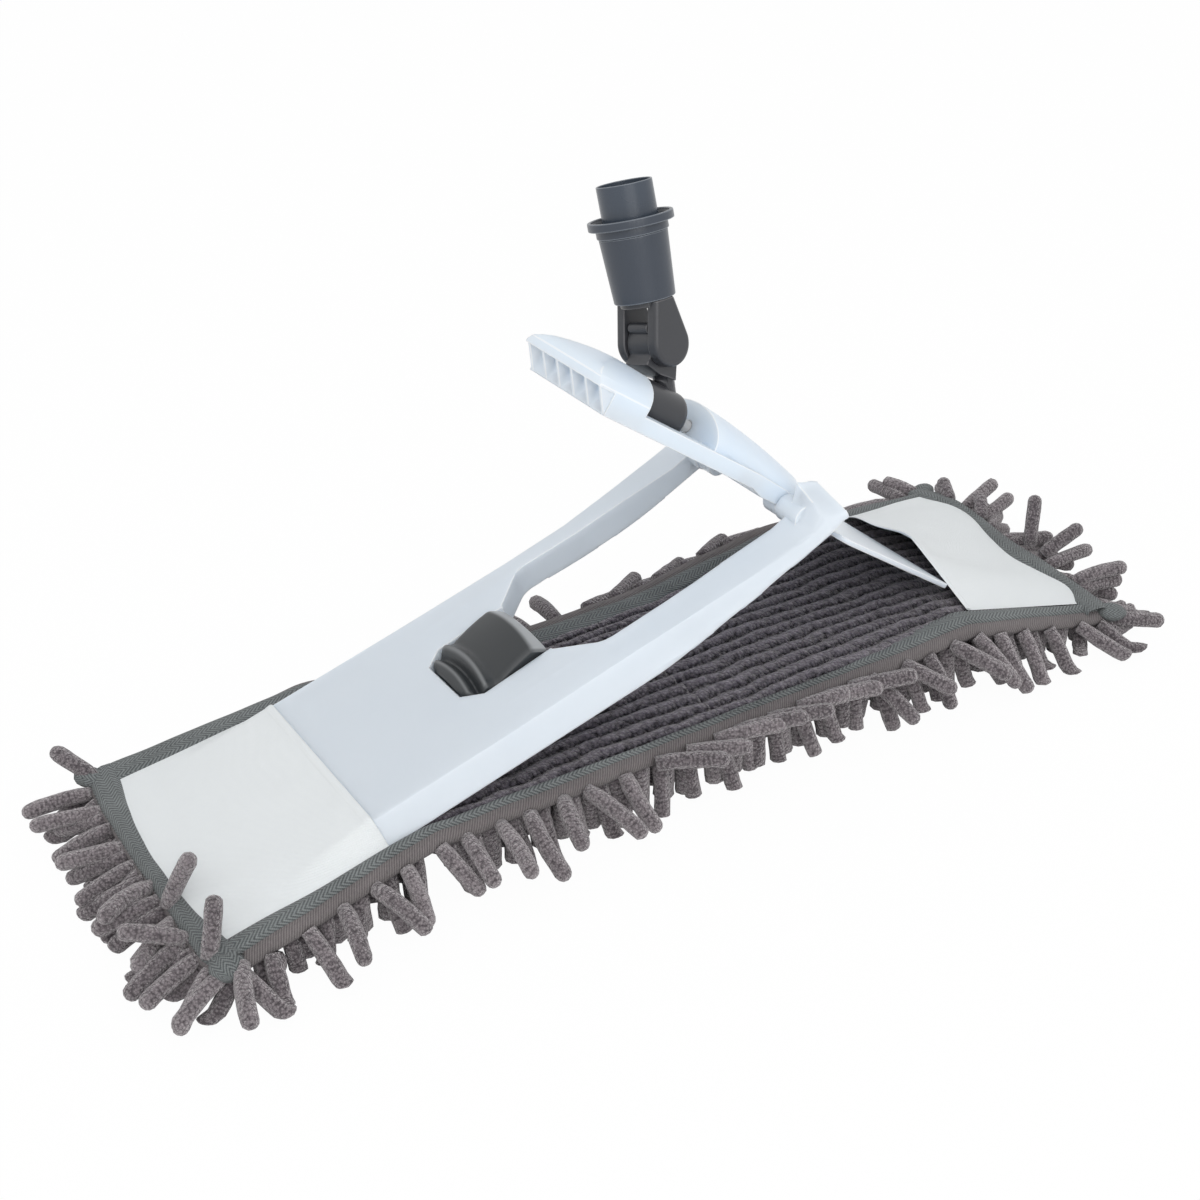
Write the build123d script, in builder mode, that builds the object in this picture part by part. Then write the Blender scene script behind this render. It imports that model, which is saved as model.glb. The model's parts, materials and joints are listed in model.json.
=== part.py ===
from build123d import *
import os
from math import asin, atan2, cos, degrees, radians, sin

os.makedirs("parts", exist_ok=True)

# Fits, as radial or face clearances
push_fit = 0.02
running_fit = 0.06

# Pad, lying on the floor on its pile; the middle is level and both ends hang down
pad_rise = 33.0
pad_mid_length = 256.8
pad_mid_half = 62.2
pad_left_length = 91.0
pad_left_half = 71.5
pad_right_length = 82.4
pad_right_half = 69.4
pad_right_slope = 11.8
pad_core = 5.4
pad_end_core = 4.0
bend_gap = 1.2
bend_depth = 3.0
ridge_pitch = 7.4
ridge_count = 13
ridge_height = 1.6
tape_width = 9.6
tape_thick = 1.0
cloth_thick = 1.0
rim_bend = -1.7
rim_end = 8.6
left_tape_u = -82.0
left_tape_end = 62.0
left_tape_bend = 55.5
right_tape_u = 73.4
right_tape_end = 60.0
right_tape_bend = 52.7
left_seat_drop = 0.6
pocket_seam = 0.4
sewn_gap = 0.05
pocket_end_shoulder = 8.4
pocket_end_top = 10.2
pocket_mouth = -18.7
pocket_mouth_half = 56.2
pocket_mouth_shoulder = 2.2
pocket_mouth_top = 10.3
pocket_slant = 8.0
right_mouth_u = 3.0
right_mouth_half = 50.5
mouth_rise = 20.5
right_arch_u = 38.0
right_arch_half = 53.8
right_arch_rise = 14.0
right_seam_rise = 2.4

# Chenille strands
strand = 5.4
fringe_length = 27.0
fringe_strip = 2.0
strand_pitch = 12.6
row_drop = 1.6
root_depth = 1.2
end_strand_drop = 5.0
row_dip = (22.0, 52.0)
pile_strand = 7.0
pile_pitch = 16.4
pile_clear = 10.0
backing = 1.0
backing_inset = 4.0

# Left wing: a shallow crowned pan that ends in two arms with raised hinge shoulders
left_slope = 15.0
wing_seat = 1.2
wing_half = 54.7
wing_tip = -75.0
tip_corner = 20.0
tip_thick = 3.6
tip_ramp = 52.0
wing_top = 9.0
wing_wall = 2.2
skirt_lip = 0.6
skirt_run = 8.0
sweep_start = 100.0
sweep_power = 1.35
crotch_half = 20.5
crotch_run = 16.5
crotch_corner = 12.0
fork_half = 34.8
fork_wall_drop = 4.7
underside_step = 0.8
# rise of the wing over its pan along its length: at the fork's edge, at the skirt
rise_at_pedal = (0.6, 0.0)
rise_at_fork = (3.5, 0.6)
rise_at_quarter = (4.0, 1.3)
rise_at_half = (5.5, 3.2)
# and of its arms over the hinge line
rise_at_rear = (-0.4, -1.8)
rise_before_hinge = (2.0, 0.4)
rise_at_end = (7.0, 1.6)

# Hinge between the wings
hinge_u = 191.0
hinge_h = 16.0
arm_past_hinge = 12.5
arm_corner = 1.5
shoulder_run = 7.0
shoulder_inner = 13.5
shoulder_outer = 4.0
hinge_pin_r = 2.0
hinge_boss_r = 5.6
hinge_boss_inner = 28.2
hinge_boss_end = 42.0
knuckle_r = 5.0
knuckle_inner = 19.0

# Foot pedal
pedal_tail = 39.2
pedal_nose = 77.0
pedal_half = 18.7
pedal_tail_half = 12.6
pedal_flare = 7.6
pedal_crown = 17.6
pedal_edge = 14.0
nose_gap = 1.5
pedal_gap = 0.8
pedal_pin_r = 2.0
pedal_pin_u = 58.0
pedal_pin_h = 5.0
pedal_wall = 2.2
spring_u = 45.5
spring_shelf = 12.0
spring_seat = 2.2
spring_top = 6.6
spring_r = 3.4
spring_wire = 0.45
spring_pitch = 1.1
spring_gap = 0.1

# Right wing: tongue, humps and plate on one line through the hinge
plate_tip_u = 6.2
plate_tip_rise = 5.8
tongue_half = 27.5
tongue_end = -105.0
tongue_low = 0.5
tongue_top = 7.0
lip_end = -113.0
lip_low = 9.6
lip_thick = 3.6
left_hump_top = 20.4
left_hump_cut = -78.4
left_hump_bow = 50.0
right_hump_face = -43.0
right_hump_corner = 4.0
right_hump_tip = 12.0
right_hump_top = 20.1
right_hump_mid = 17.2
right_hump_low = 11.9
right_hump_foot = 3.5
joint_window_half = 12.5
plate_start = 13.2
plate_tip_half = 37.0
plate_corner = 5.0
plate_low = -1.2
plate_high = 1.0
plate_rib_y = 22.0
plate_rib = 1.8
end_rib_count = 6
end_rib = 1.6

# Universal joint
swivel_along = -72.2
swivel_above = 9.5
swivel_lean = 19.0
swivel_pin_r = 2.5
swivel_pin_left = -84.0
swivel_pin_right = -30.0
base_r = 10.0
base_left = -77.0
base_right = -51.0
axis_rise = 24.0
handle_tilt = 35.8
eye_r = 8.0
eye_half = 6.4
neck_r = 4.3
roll_bar_r = 2.3
roll_bar_half = 5.5
fork_pin_r = 3.0
fork_pin_half = 10.6

# Handle socket and tube
ear_r = 9.2
ear_inner = 6.8
ear_outer = 11.9
ear_round = 2.0
ear_neck_half = 5.2
fork_disc_r = 10.0
fork_disc_low = 15.6
sleeve_low = 17.6
sleeve_high = 43.4
sleeve_low_r = 12.15
sleeve_high_r = 13.6
step_high = 46.8
step_r = 14.2
collar_high = 50.2
collar_r = 16.9
collar_wall = 1.4
tube_r = 11.0
tube_wall = 0.8
tube_low = 22.0
tube_high = 63.0


def direction(angle):
    """Unit vector in the XZ plane, angle above +X."""
    return Vector(cos(radians(angle)), 0, sin(radians(angle)))


def slope(origin, angle):
    """Plane whose X axis climbs at the angle and whose Y axis is the far side."""
    return Plane(origin=origin, x_dir=direction(angle), z_dir=direction(angle + 90))


def flat(base, height):
    """Plan view plane of a base at a height above it."""
    return Plane(base.from_local_coords(Vector(0, 0, height)), x_dir=base.x_dir, z_dir=base.z_dir)


def side(base, y=0.0):
    """Side view plane of a base: along it and up, facing the near side."""
    return Plane(base.from_local_coords(Vector(0, y, 0)), x_dir=base.x_dir, z_dir=base.y_dir * -1)


def across(base, along):
    """Cross-section plane of a base: far side and up, facing along it."""
    return Plane(base.from_local_coords(Vector(along, 0, 0)), x_dir=base.y_dir, z_dir=base.x_dir)


def turned(base, offset, axis, angle):
    """Base moved by a local offset and turned about its own X or Y axis."""
    turn = (angle, 0, 0) if axis == "X" else (0, angle, 0)
    return Plane(base.location * Location(offset, turn))


# The strands at both ends reach equally far from the origin
root_drop = strand / 2 + 0.2
left_end = (pad_left_length + fringe_strip) * direction(-left_slope)
left_end += (rim_end - end_strand_drop) * direction(90 - left_slope)
right_end = (pad_right_length + fringe_strip) * direction(-pad_right_slope)
right_end -= root_drop * direction(90 - pad_right_slope)
left_reach = left_end.X + fringe_length
right_reach = right_end.X + fringe_length
left_bend_x = (left_reach - right_reach - pad_mid_length) / 2
right_bend_x = left_bend_x + pad_mid_length

pad_mid = Plane((left_bend_x, 0, pad_rise))
pad_right = slope((right_bend_x, 0, pad_rise), -pad_right_slope)
left_wing_base = slope((left_bend_x, 0, pad_rise + wing_seat), left_slope)
hinge_point = left_wing_base.from_local_coords(Vector(hinge_u, 0, hinge_h))

# The plate's tip rests in the right pocket, which sets the right wing's slope and reach
plate_reach = pad_right.from_local_coords(Vector(plate_tip_u, 0, plate_tip_rise)) - hinge_point
plate_end = plate_reach.length
right_slope = degrees(atan2(-plate_reach.Z, plate_reach.X))
right_wing_base = slope(hinge_point, -right_slope)
yoke_base = turned(right_wing_base, (swivel_along, 0, swivel_above), "X", -swivel_lean)
handle_base = turned(yoke_base, (0, 0, axis_rise), "Y", -handle_tilt)


wing_end = hinge_u + arm_past_hinge
crotch = pedal_nose + nose_gap
sweep_run = wing_end - sweep_start
sky = 60.0
below = -20.0


def arm_rise(u):
    """Height of the arms' underside, which sweeps up to the hinge."""
    return (hinge_h - underside_step) * max(0.0, (u - sweep_start) / sweep_run) ** sweep_power


def wing_form(inset):
    """Solid pan with its arms; an inset form is open below and hollows the pan."""
    low = below if inset else 0.0
    lower = [(sweep_start + sweep_run * i / 4, arm_rise(sweep_start + sweep_run * i / 4)) for i in range(5)]
    # stations along the wing: height at the fork's edge and at the skirt
    stations = (
        (wing_tip - 5, wing_top, wing_top),
        (wing_tip + tip_ramp, wing_top, wing_top),
        (pedal_tail, wing_top + rise_at_pedal[0], wing_top + rise_at_pedal[1]),
        (crotch + crotch_run, wing_top + rise_at_fork[0], wing_top + rise_at_fork[1]),
        (sweep_start + sweep_run / 4, wing_top + rise_at_quarter[0], wing_top + rise_at_quarter[1]),
        (sweep_start + sweep_run / 2, wing_top + rise_at_half[0], wing_top + rise_at_half[1]),
        (sweep_start + sweep_run * 3 / 4, hinge_h + rise_at_rear[0], hinge_h + rise_at_rear[1]),
        (hinge_u - shoulder_run / 2, hinge_h + rise_before_hinge[0], hinge_h + rise_before_hinge[1]),
        (hinge_u + shoulder_run / 2, hinge_h + shoulder_inner, hinge_h + shoulder_outer),
        (wing_end + 5, hinge_h + rise_at_end[0], hinge_h + rise_at_end[1]),
    )
    with BuildPart() as form:
        with BuildSketch(flat(left_wing_base, below)) as plan:
            with Locations(((wing_tip + wing_end) / 2, 0)):
                Rectangle(wing_end - wing_tip, 2 * wing_half)
            Polygon((crotch, -crotch_half), (crotch + crotch_run, -fork_half), (wing_end + 1, -fork_half),
                    (wing_end + 1, fork_half), (crotch + crotch_run, fork_half), (crotch, crotch_half),
                    align=None, mode=Mode.SUBTRACT)
            for u, radius in (
                (crotch + crotch_run, crotch_corner), (wing_tip, tip_corner), (wing_end, arm_corner),
            ):
                fillet(plan.vertices().filter_by_position(Axis.X, u - 0.01, u + 0.01), radius)
            if inset:
                offset(amount=-inset, mode=Mode.REPLACE)
        extrude(amount=2 * sky)
        with BuildSketch(side(left_wing_base)):
            with BuildLine():
                tip = Polyline((sweep_start, low), (wing_tip, low), (wing_tip, tip_thick - inset),
                               (wing_tip + 8, tip_thick * 1.5 - inset),
                               (wing_tip + tip_ramp, wing_top - inset))
                top = Polyline(tip @ 1, (wing_tip + tip_ramp + 1, sky), (wing_end, sky))
                if inset:
                    Polyline(top @ 1, (wing_end, low), tip @ 0)
                else:
                    bottom = Spline(*lower, tangents=[(1, 0), (1, 0.18)])
                    Line(top @ 1, bottom @ 1)
            make_face()
        extrude(amount=2 * wing_half, both=True, mode=Mode.INTERSECT)
        for u, inner_top, outer_top in stations:
            rise = arm_rise(u) + skirt_lip
            high = max(outer_top - inset, rise + 0.3)
            outer = wing_half - 1.4 * inset
            run = min(skirt_run, high - rise)
            with BuildSketch(across(left_wing_base, u)):
                with BuildLine():
                    wall = Polyline((0, -30), (outer, -30), (outer, rise), (outer - run, high),
                                    (fork_half, inner_top - inset), (0, inner_top - inset))
                    mirror(wall, about=Plane.YZ)
                make_face()
        loft(ruled=True, mode=Mode.INTERSECT)
    return form.part


def pedal_plan(margin, end):
    """Corners of the pedal in plan with a margin round it, open towards its nose."""
    near = [
        (pedal_tail - margin, -pedal_tail_half - margin / 2),
        (pedal_tail + pedal_flare - margin / 2, -pedal_half - margin),
        (end, -pedal_half - margin),
    ]
    return near + [(u, -y) for u, y in reversed(near)]


# Left wing
well_half = pedal_half + pedal_gap
wall_start = crotch + crotch_run + crotch_corner
wall_stations = [wall_start + (wing_end - 1 - wall_start) * i / 4 for i in range(5)]
with BuildPart() as left_wing:
    add(wing_form(0))
    add(wing_form(wing_wall), mode=Mode.SUBTRACT)
    # walls of the pedal well, and the shelf under its spring
    with BuildSketch(flat(left_wing_base, skirt_lip)):
        Polygon(*pedal_plan(pedal_gap + pedal_wall, crotch), align=None)
        Polygon(*pedal_plan(pedal_gap, crotch + 1), align=None, mode=Mode.SUBTRACT)
    extrude(amount=2 * wing_top)
    add(wing_form(0), mode=Mode.INTERSECT)
    with BuildSketch(flat(left_wing_base, skirt_lip)):
        with Locations((spring_u, 0)):
            Rectangle(spring_shelf, 2 * well_half)
    extrude(amount=spring_seat - skirt_lip)
    with BuildSketch(flat(left_wing_base, spring_seat + 0.5)):
        Polygon(*pedal_plan(pedal_gap, crotch + 1), align=None)
    extrude(amount=2 * wing_top, mode=Mode.SUBTRACT)
    # inner walls of the arms, which hang lower than the skirt
    for y_side in (-1, 1):
        with BuildSketch(side(left_wing_base, y_side * (fork_half + wing_wall / 2))):
            with BuildLine():
                wall_low = Spline(*[(u, max(0.0, arm_rise(u) - fork_wall_drop)) for u in wall_stations])
                wall_top = Polyline(wall_low @ 1, (wing_end - 1, hinge_h), (hinge_u - 6, hinge_h - 2),
                                    (wall_start, wing_top), wall_low @ 0)
            make_face()
        extrude(amount=wing_wall / 2, both=True)
    # hinge bosses on the arm ends
    for y_side in (-1, 1):
        with BuildSketch(side(left_wing_base, y_side * (hinge_boss_inner + hinge_boss_end) / 2)):
            with Locations((hinge_u, hinge_h)):
                Circle(hinge_boss_r)
        extrude(amount=(hinge_boss_end - hinge_boss_inner) / 2, both=True)
    with BuildSketch(side(left_wing_base)):
        with Locations((hinge_u, hinge_h)):
            Circle(hinge_pin_r + push_fit)
    extrude(amount=hinge_boss_end - 1, both=True, mode=Mode.SUBTRACT)
    with BuildSketch(side(left_wing_base)):
        with Locations((pedal_pin_u, pedal_pin_h)):
            Circle(pedal_pin_r + push_fit)
    extrude(amount=well_half + pedal_wall + 1, both=True, mode=Mode.SUBTRACT)
left_wing.part.label = "left_wing"
export_step(left_wing.part, "parts/left_wing.step")

# Hinge pins, one at each arm
hinge_pin_inner = knuckle_inner + 1
hinge_pin_length = hinge_boss_end - 1.2 - hinge_pin_inner
with BuildPart() as hinge_pin_near:
    with BuildSketch(side(left_wing_base, -hinge_pin_inner)):
        with Locations((hinge_u, hinge_h)):
            Circle(hinge_pin_r)
    extrude(amount=hinge_pin_length)
hinge_pin_near.part.label = "hinge_pin_near"
export_step(hinge_pin_near.part, "parts/hinge_pin_near.step")

with BuildPart() as hinge_pin_far:
    with BuildSketch(side(left_wing_base, hinge_pin_inner)):
        with Locations((hinge_u, hinge_h)):
            Circle(hinge_pin_r)
    extrude(amount=-hinge_pin_length)
hinge_pin_far.part.label = "hinge_pin_far"
export_step(hinge_pin_far.part, "parts/hinge_pin_far.step")

# Foot pedal: crowned across, with two grip ridges at the tail and a bevelled nose
pedal_low = pedal_pin_h - pedal_pin_r - 0.6
with BuildPart() as foot_pedal:
    with BuildSketch(side(left_wing_base)):
        with BuildLine():
            tail = Polyline((pedal_nose - 1, spring_top + 1), (pedal_pin_u + 6, pedal_low),
                            (pedal_pin_u - 5, pedal_low), (pedal_pin_u - 7.5, spring_top),
                            (pedal_tail, spring_top), (pedal_tail, spring_top + 2.4))
            ridge_one = ThreePointArc(tail @ 1, (pedal_tail + 2.6, 11.4), (pedal_tail + 5.4, 10.3))
            ridge_two = ThreePointArc(ridge_one @ 1, (pedal_tail + 8.2, 13), (pedal_tail + 11.4, 12.5))
            crown = Spline(ridge_two @ 1, (pedal_tail + 22, 15.4), (pedal_nose - 6, pedal_crown),
                           tangents=[(1, 0.4), (1, 0.1)])
            Polyline(crown @ 1, (pedal_nose, pedal_edge), (pedal_nose, pedal_edge - 2.5),
                     (pedal_nose - 1, pedal_edge - 3), tail @ 0)
        make_face()
    extrude(amount=pedal_half, both=True)
    with BuildSketch(flat(left_wing_base, 0)):
        Polygon(*pedal_plan(0, pedal_nose), align=None)
    extrude(amount=2 * pedal_crown, mode=Mode.INTERSECT)
    with BuildSketch(across(left_wing_base, pedal_tail - 2)):
        with BuildLine():
            base = Polyline((-pedal_half, pedal_edge), (-pedal_half, 0), (pedal_half, 0),
                            (pedal_half, pedal_edge))
            crown_arc = ThreePointArc(base @ 1, (0, pedal_crown + 0.2), base @ 0)
        make_face()
    extrude(amount=pedal_nose - pedal_tail + 4, mode=Mode.INTERSECT)
    with BuildSketch(side(left_wing_base)):
        with Locations((pedal_pin_u, pedal_pin_h)):
            Circle(pedal_pin_r + running_fit)
    extrude(amount=pedal_half + 1, both=True, mode=Mode.SUBTRACT)
foot_pedal.part.label = "foot_pedal"
export_step(foot_pedal.part, "parts/foot_pedal.step")

with BuildPart() as pedal_pin:
    with BuildSketch(side(left_wing_base)):
        with Locations((pedal_pin_u, pedal_pin_h)):
            Circle(pedal_pin_r)
    extrude(amount=well_half + pedal_wall, both=True)
pedal_pin.part.label = "pedal_pin"
export_step(pedal_pin.part, "parts/pedal_pin.step")

# Spring under the pedal's tail
with BuildPart() as pedal_spring:
    coil_inset = spring_wire + spring_gap
    coil_foot = left_wing_base.from_local_coords(Vector(spring_u, 0, spring_seat + coil_inset))
    coil_height = spring_top - spring_seat - 2 * coil_inset
    with BuildLine() as coil:
        Helix(spring_pitch, coil_height, spring_r, center=coil_foot, direction=left_wing_base.z_dir)
    with BuildSketch(Plane(coil.line @ 0, z_dir=coil.line % 0)):
        Circle(spring_wire)
    sweep(path=coil.line, is_frenet=True)
pedal_spring.part.label = "pedal_spring"
export_step(pedal_spring.part, "parts/pedal_spring.step")


def left_hump():
    """Domed hump with the lip that overhangs the tongue's end; its other end is bowed in plan."""
    with BuildPart() as hump:
        with BuildSketch(side(right_wing_base)):
            with BuildLine():
                under = Polyline((left_hump_cut, tongue_top - 1), (tongue_end, tongue_top - 1),
                                 (tongue_end, lip_low), (lip_end, lip_low), (lip_end, lip_low + lip_thick))
                dome = Spline(under @ 1, (lip_end + 5, left_hump_top - 3.4),
                              (lip_end + 13, left_hump_top - 1.2), (left_hump_cut - 10, left_hump_top),
                              tangents=[(0.5, 1), (1, 0)])
                Polyline(dome @ 1, (left_hump_cut, left_hump_top - 0.6), under @ 0)
            make_face()
        extrude(amount=tongue_half, both=True)
        with BuildSketch(across(right_wing_base, lip_end - 1)):
            with BuildLine():
                feet = Polyline((-tongue_half + 3, lip_low + 4), (-tongue_half, lip_low + 1),
                                (-tongue_half, tongue_top - 2), (tongue_half, tongue_top - 2),
                                (tongue_half, lip_low + 1), (tongue_half - 3, lip_low + 4))
                ThreePointArc(feet @ 1, (0, left_hump_top + 0.1), feet @ 0)
            make_face()
        extrude(amount=left_hump_cut - lip_end + 2, mode=Mode.INTERSECT)
        with BuildSketch(flat(right_wing_base, 0)):
            with Locations((left_hump_cut - left_hump_bow, 0)):
                Circle(left_hump_bow)
        extrude(amount=2 * left_hump_top, mode=Mode.INTERSECT)
    return hump.part


def right_hump():
    """Arched hump that runs out past the hinge with a bowed end."""
    with BuildPart() as hump:
        for along, half, low, high in (
            (right_hump_face, tongue_half - 5.5, tongue_top - 0.6, right_hump_top),
            (right_hump_face / 3, tongue_half - 2, tongue_top - 1.4, right_hump_mid),
            (right_hump_tip + 1, tongue_half - 0.5, right_hump_foot, right_hump_low),
        ):
            with BuildSketch(across(right_wing_base, along)):
                with BuildLine():
                    foot = Line((-half, low), (half, low))
                    EllipticalCenterArc((0, low), half, high - low, start_angle=0, arc_size=180)
                make_face()
        loft()
        with BuildSketch(flat(right_wing_base, 0)):
            with BuildLine():
                sides = Polyline((right_hump_corner, -tongue_half), (right_hump_face - 1, -tongue_half),
                                 (right_hump_face - 1, tongue_half), (right_hump_corner, tongue_half))
                ThreePointArc(sides @ 1, (right_hump_tip, 0), sides @ 0)
            make_face()
        extrude(amount=2 * left_hump_top, mode=Mode.INTERSECT)
    return hump.part


# Right wing: tongue tray, two humps, end ribs, hinge knuckles and the plate
with BuildPart() as right_wing:
    with BuildSketch(side(right_wing_base)):
        Polygon((tongue_end, tongue_low), (-20, tongue_low), (-14, plate_low), (plate_start + 1, plate_low),
                (plate_start + 1, plate_high), (-3, tongue_top - 1), (-20, tongue_top),
                (tongue_end, tongue_top), align=None)
    extrude(amount=tongue_half, both=True)
    # hollow under the tray, and the window for the joint's base
    for hollow_left, hollow_right in (
        (tongue_end + wing_wall, swivel_pin_left - wing_wall), (swivel_pin_right + wing_wall, -16),
    ):
        with BuildSketch(flat(right_wing_base, -5)):
            with Locations(((hollow_left + hollow_right) / 2, 0)):
                Rectangle(hollow_right - hollow_left, 2 * (tongue_half - wing_wall))
        extrude(amount=5 + tongue_top - wing_wall, mode=Mode.SUBTRACT)
    add(left_hump())
    add(right_hump())
    with BuildSketch(flat(right_wing_base, -5)):
        with Locations(((left_hump_cut + right_hump_face) / 2, 0)):
            Rectangle(right_hump_face - left_hump_cut, 2 * joint_window_half)
    extrude(amount=5 + tongue_top + 0.1, mode=Mode.SUBTRACT)
    with BuildSketch(across(right_wing_base, swivel_pin_left)):
        with Locations((0, swivel_above)):
            Circle(swivel_pin_r + push_fit)
    extrude(amount=swivel_pin_right - swivel_pin_left, mode=Mode.SUBTRACT)
    # ribs under the lip
    rib_step = 2 * (tongue_half - end_rib) / (end_rib_count - 1)
    for rib in range(end_rib_count):
        with BuildSketch(side(right_wing_base, -tongue_half + end_rib + rib * rib_step)):
            Polygon((tongue_end, 1), (tongue_end, lip_low), (lip_end + 0.8, lip_low), align=None)
        extrude(amount=end_rib / 2, both=True)
    # hinge knuckles
    for y_side in (-1, 1):
        with BuildSketch(side(right_wing_base, y_side * (knuckle_inner + tongue_half) / 2)):
            Circle(knuckle_r)
        extrude(amount=(tongue_half - knuckle_inner) / 2, both=True)
    with BuildSketch(side(right_wing_base)):
        Circle(hinge_pin_r + running_fit)
    extrude(amount=tongue_half + 1, both=True, mode=Mode.SUBTRACT)
    # plate that goes into the pocket, with three stiffening ribs below
    with BuildSketch(flat(right_wing_base, plate_low)) as plate_plan:
        Polygon((plate_start, -wing_half), (plate_end, -plate_tip_half), (plate_end, plate_tip_half),
                (plate_start, wing_half), align=None)
        fillet(plate_plan.vertices(), plate_corner)
    extrude(amount=plate_high - plate_low)
    for y in (-plate_rib_y, 0, plate_rib_y):
        with BuildSketch(flat(right_wing_base, plate_low - plate_rib)):
            with Locations(((plate_start + plate_end) / 2, y)):
                Rectangle(plate_end - plate_start - 16, plate_rib)
        extrude(amount=plate_rib + 0.1)
right_wing.part.label = "right_wing"
export_step(right_wing.part, "parts/right_wing.step")

with BuildPart() as swivel_pin:
    with BuildSketch(across(right_wing_base, swivel_pin_left)):
        with Locations((0, swivel_above)):
            Circle(swivel_pin_r)
    extrude(amount=swivel_pin_right - swivel_pin_left)
swivel_pin.part.label = "swivel_pin"
export_step(swivel_pin.part, "parts/swivel_pin.step")

# Universal joint link: base round the swivel pin, slanted neck, eye, and a roll bar over a hanging flap
with BuildPart() as yoke:
    with BuildSketch(across(yoke_base, base_left - swivel_along)):
        Circle(base_r)
    extrude(amount=base_right - base_left)
    fillet(yoke.edges().filter_by(GeomType.CIRCLE).sort_by(Axis(yoke_base.origin, yoke_base.x_dir))[-1], 4)
    with BuildSketch(side(yoke_base)):
        with BuildLine():
            flap = Spline((-eye_r + 0.6, axis_rise + 2), (-4.8, axis_rise - 4), (-5.6, axis_rise / 2 + 0.8))
            Polyline(flap @ 1, (3, axis_rise / 2), (11.5, axis_rise / 2 + 1), (eye_r, axis_rise), flap @ 0)
        make_face()
        with Locations((0, axis_rise)):
            Circle(eye_r)
    extrude(amount=eye_half, both=True)
    neck_top = yoke_base.from_local_coords(Vector(6, 0, axis_rise - 4))
    neck_foot = yoke_base.from_local_coords(Vector(16.5, 0, 3))
    with BuildSketch(Plane(neck_top, z_dir=neck_foot - neck_top)):
        Circle(neck_r)
    extrude(amount=(neck_foot - neck_top).length)
    with BuildSketch(side(yoke_base)):
        with Locations((-eye_r, axis_rise + 3)):
            Circle(roll_bar_r)
    extrude(amount=roll_bar_half, both=True)
    with BuildSketch(across(yoke_base, base_left - swivel_along)):
        Circle(swivel_pin_r + running_fit)
    extrude(amount=base_right - base_left, mode=Mode.SUBTRACT)
    with BuildSketch(side(yoke_base)):
        with Locations((0, axis_rise)):
            Circle(fork_pin_r + running_fit)
    extrude(amount=eye_half + 1, both=True, mode=Mode.SUBTRACT)
yoke.part.label = "yoke"
export_step(yoke.part, "parts/yoke.step")

# Fork at the foot of the handle: two rounded ears on a disc that plugs into the sleeve
ear_line = Axis(handle_base.origin, handle_base.y_dir)
ear_top = Axis(handle_base.origin, handle_base.z_dir)
with BuildPart() as socket_fork:
    for y_side in (-1, 1):
        with BuildSketch(side(handle_base, y_side * (ear_inner + ear_outer) / 2)):
            Circle(ear_r)
            with Locations((0, sleeve_low)):
                Rectangle(2 * ear_neck_half, 1, align=(Align.CENTER, Align.MAX))
            make_hull()
        extrude(amount=(ear_outer - ear_inner) / 2, both=True)
    for y_side in (-1, 1):
        face = y_side * ear_outer
        face_edges = socket_fork.edges().filter_by_position(ear_line, face - 0.01, face + 0.01)
        fillet(face_edges.sort_by(ear_top)[:-1], ear_round)
    with BuildSketch(flat(handle_base, fork_disc_low)):
        Circle(fork_disc_r - push_fit)
    extrude(amount=tube_low - fork_disc_low)
    with BuildSketch(side(handle_base)):
        Circle(fork_pin_r + push_fit)
    extrude(amount=fork_pin_half, both=True, mode=Mode.SUBTRACT)
socket_fork.part.label = "socket_fork"
export_step(socket_fork.part, "parts/socket_fork.step")

# Tapered sleeve between the fork and the tube
with BuildPart() as handle_socket:
    with BuildSketch(side(handle_base)):
        Polygon((fork_disc_r, sleeve_low), (sleeve_low_r, sleeve_low), (sleeve_high_r, sleeve_high),
                (tube_r + push_fit, sleeve_high), (tube_r + push_fit, tube_low), (fork_disc_r, tube_low),
                align=None)
    revolve(axis=Axis(handle_base.origin, handle_base.z_dir))
handle_socket.part.label = "handle_socket"
export_step(handle_socket.part, "parts/handle_socket.step")

with BuildPart() as fork_pin:
    with BuildSketch(side(handle_base)):
        Circle(fork_pin_r)
    extrude(amount=fork_pin_half, both=True)
fork_pin.part.label = "fork_pin"
export_step(fork_pin.part, "parts/fork_pin.step")

with BuildPart() as step_ring:
    with BuildSketch(flat(handle_base, sleeve_high)):
        Circle(step_r)
        Circle(tube_r + push_fit, mode=Mode.SUBTRACT)
    extrude(amount=step_high - sleeve_high)
step_ring.part.label = "step_ring"
export_step(step_ring.part, "parts/step_ring.step")

# Collar ring: a dished washer, open on top between its rim and the tube
with BuildPart() as collar_ring:
    with BuildSketch(side(handle_base)):
        Polygon((tube_r + push_fit, step_high), (collar_r, step_high), (collar_r, collar_high),
                (collar_r - collar_wall, collar_high), (collar_r - collar_wall, step_high + collar_wall),
                (tube_r + push_fit, step_high + collar_wall), align=None)
    revolve(axis=Axis(handle_base.origin, handle_base.z_dir))
collar_ring.part.label = "collar_ring"
export_step(collar_ring.part, "parts/collar_ring.step")

with BuildPart() as handle_tube:
    with BuildSketch(flat(handle_base, tube_low)):
        Circle(tube_r)
        Circle(tube_r - tube_wall, mode=Mode.SUBTRACT)
    extrude(amount=tube_high - tube_low)
handle_tube.part.label = "handle_tube"
export_step(handle_tube.part, "parts/handle_tube.step")


def outline(end, end_half, bend, bend_half):
    """Corners of a pad end in plan, from its free end to the bend."""
    return [(end, -end_half), (bend, -bend_half), (bend, bend_half), (end, end_half)]


def left_outline(margin):
    """Corners of the pad's left end with a margin past its edge."""
    return outline(-pad_left_length - margin, pad_left_half + margin, -bend_gap, pad_mid_half + margin)


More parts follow.
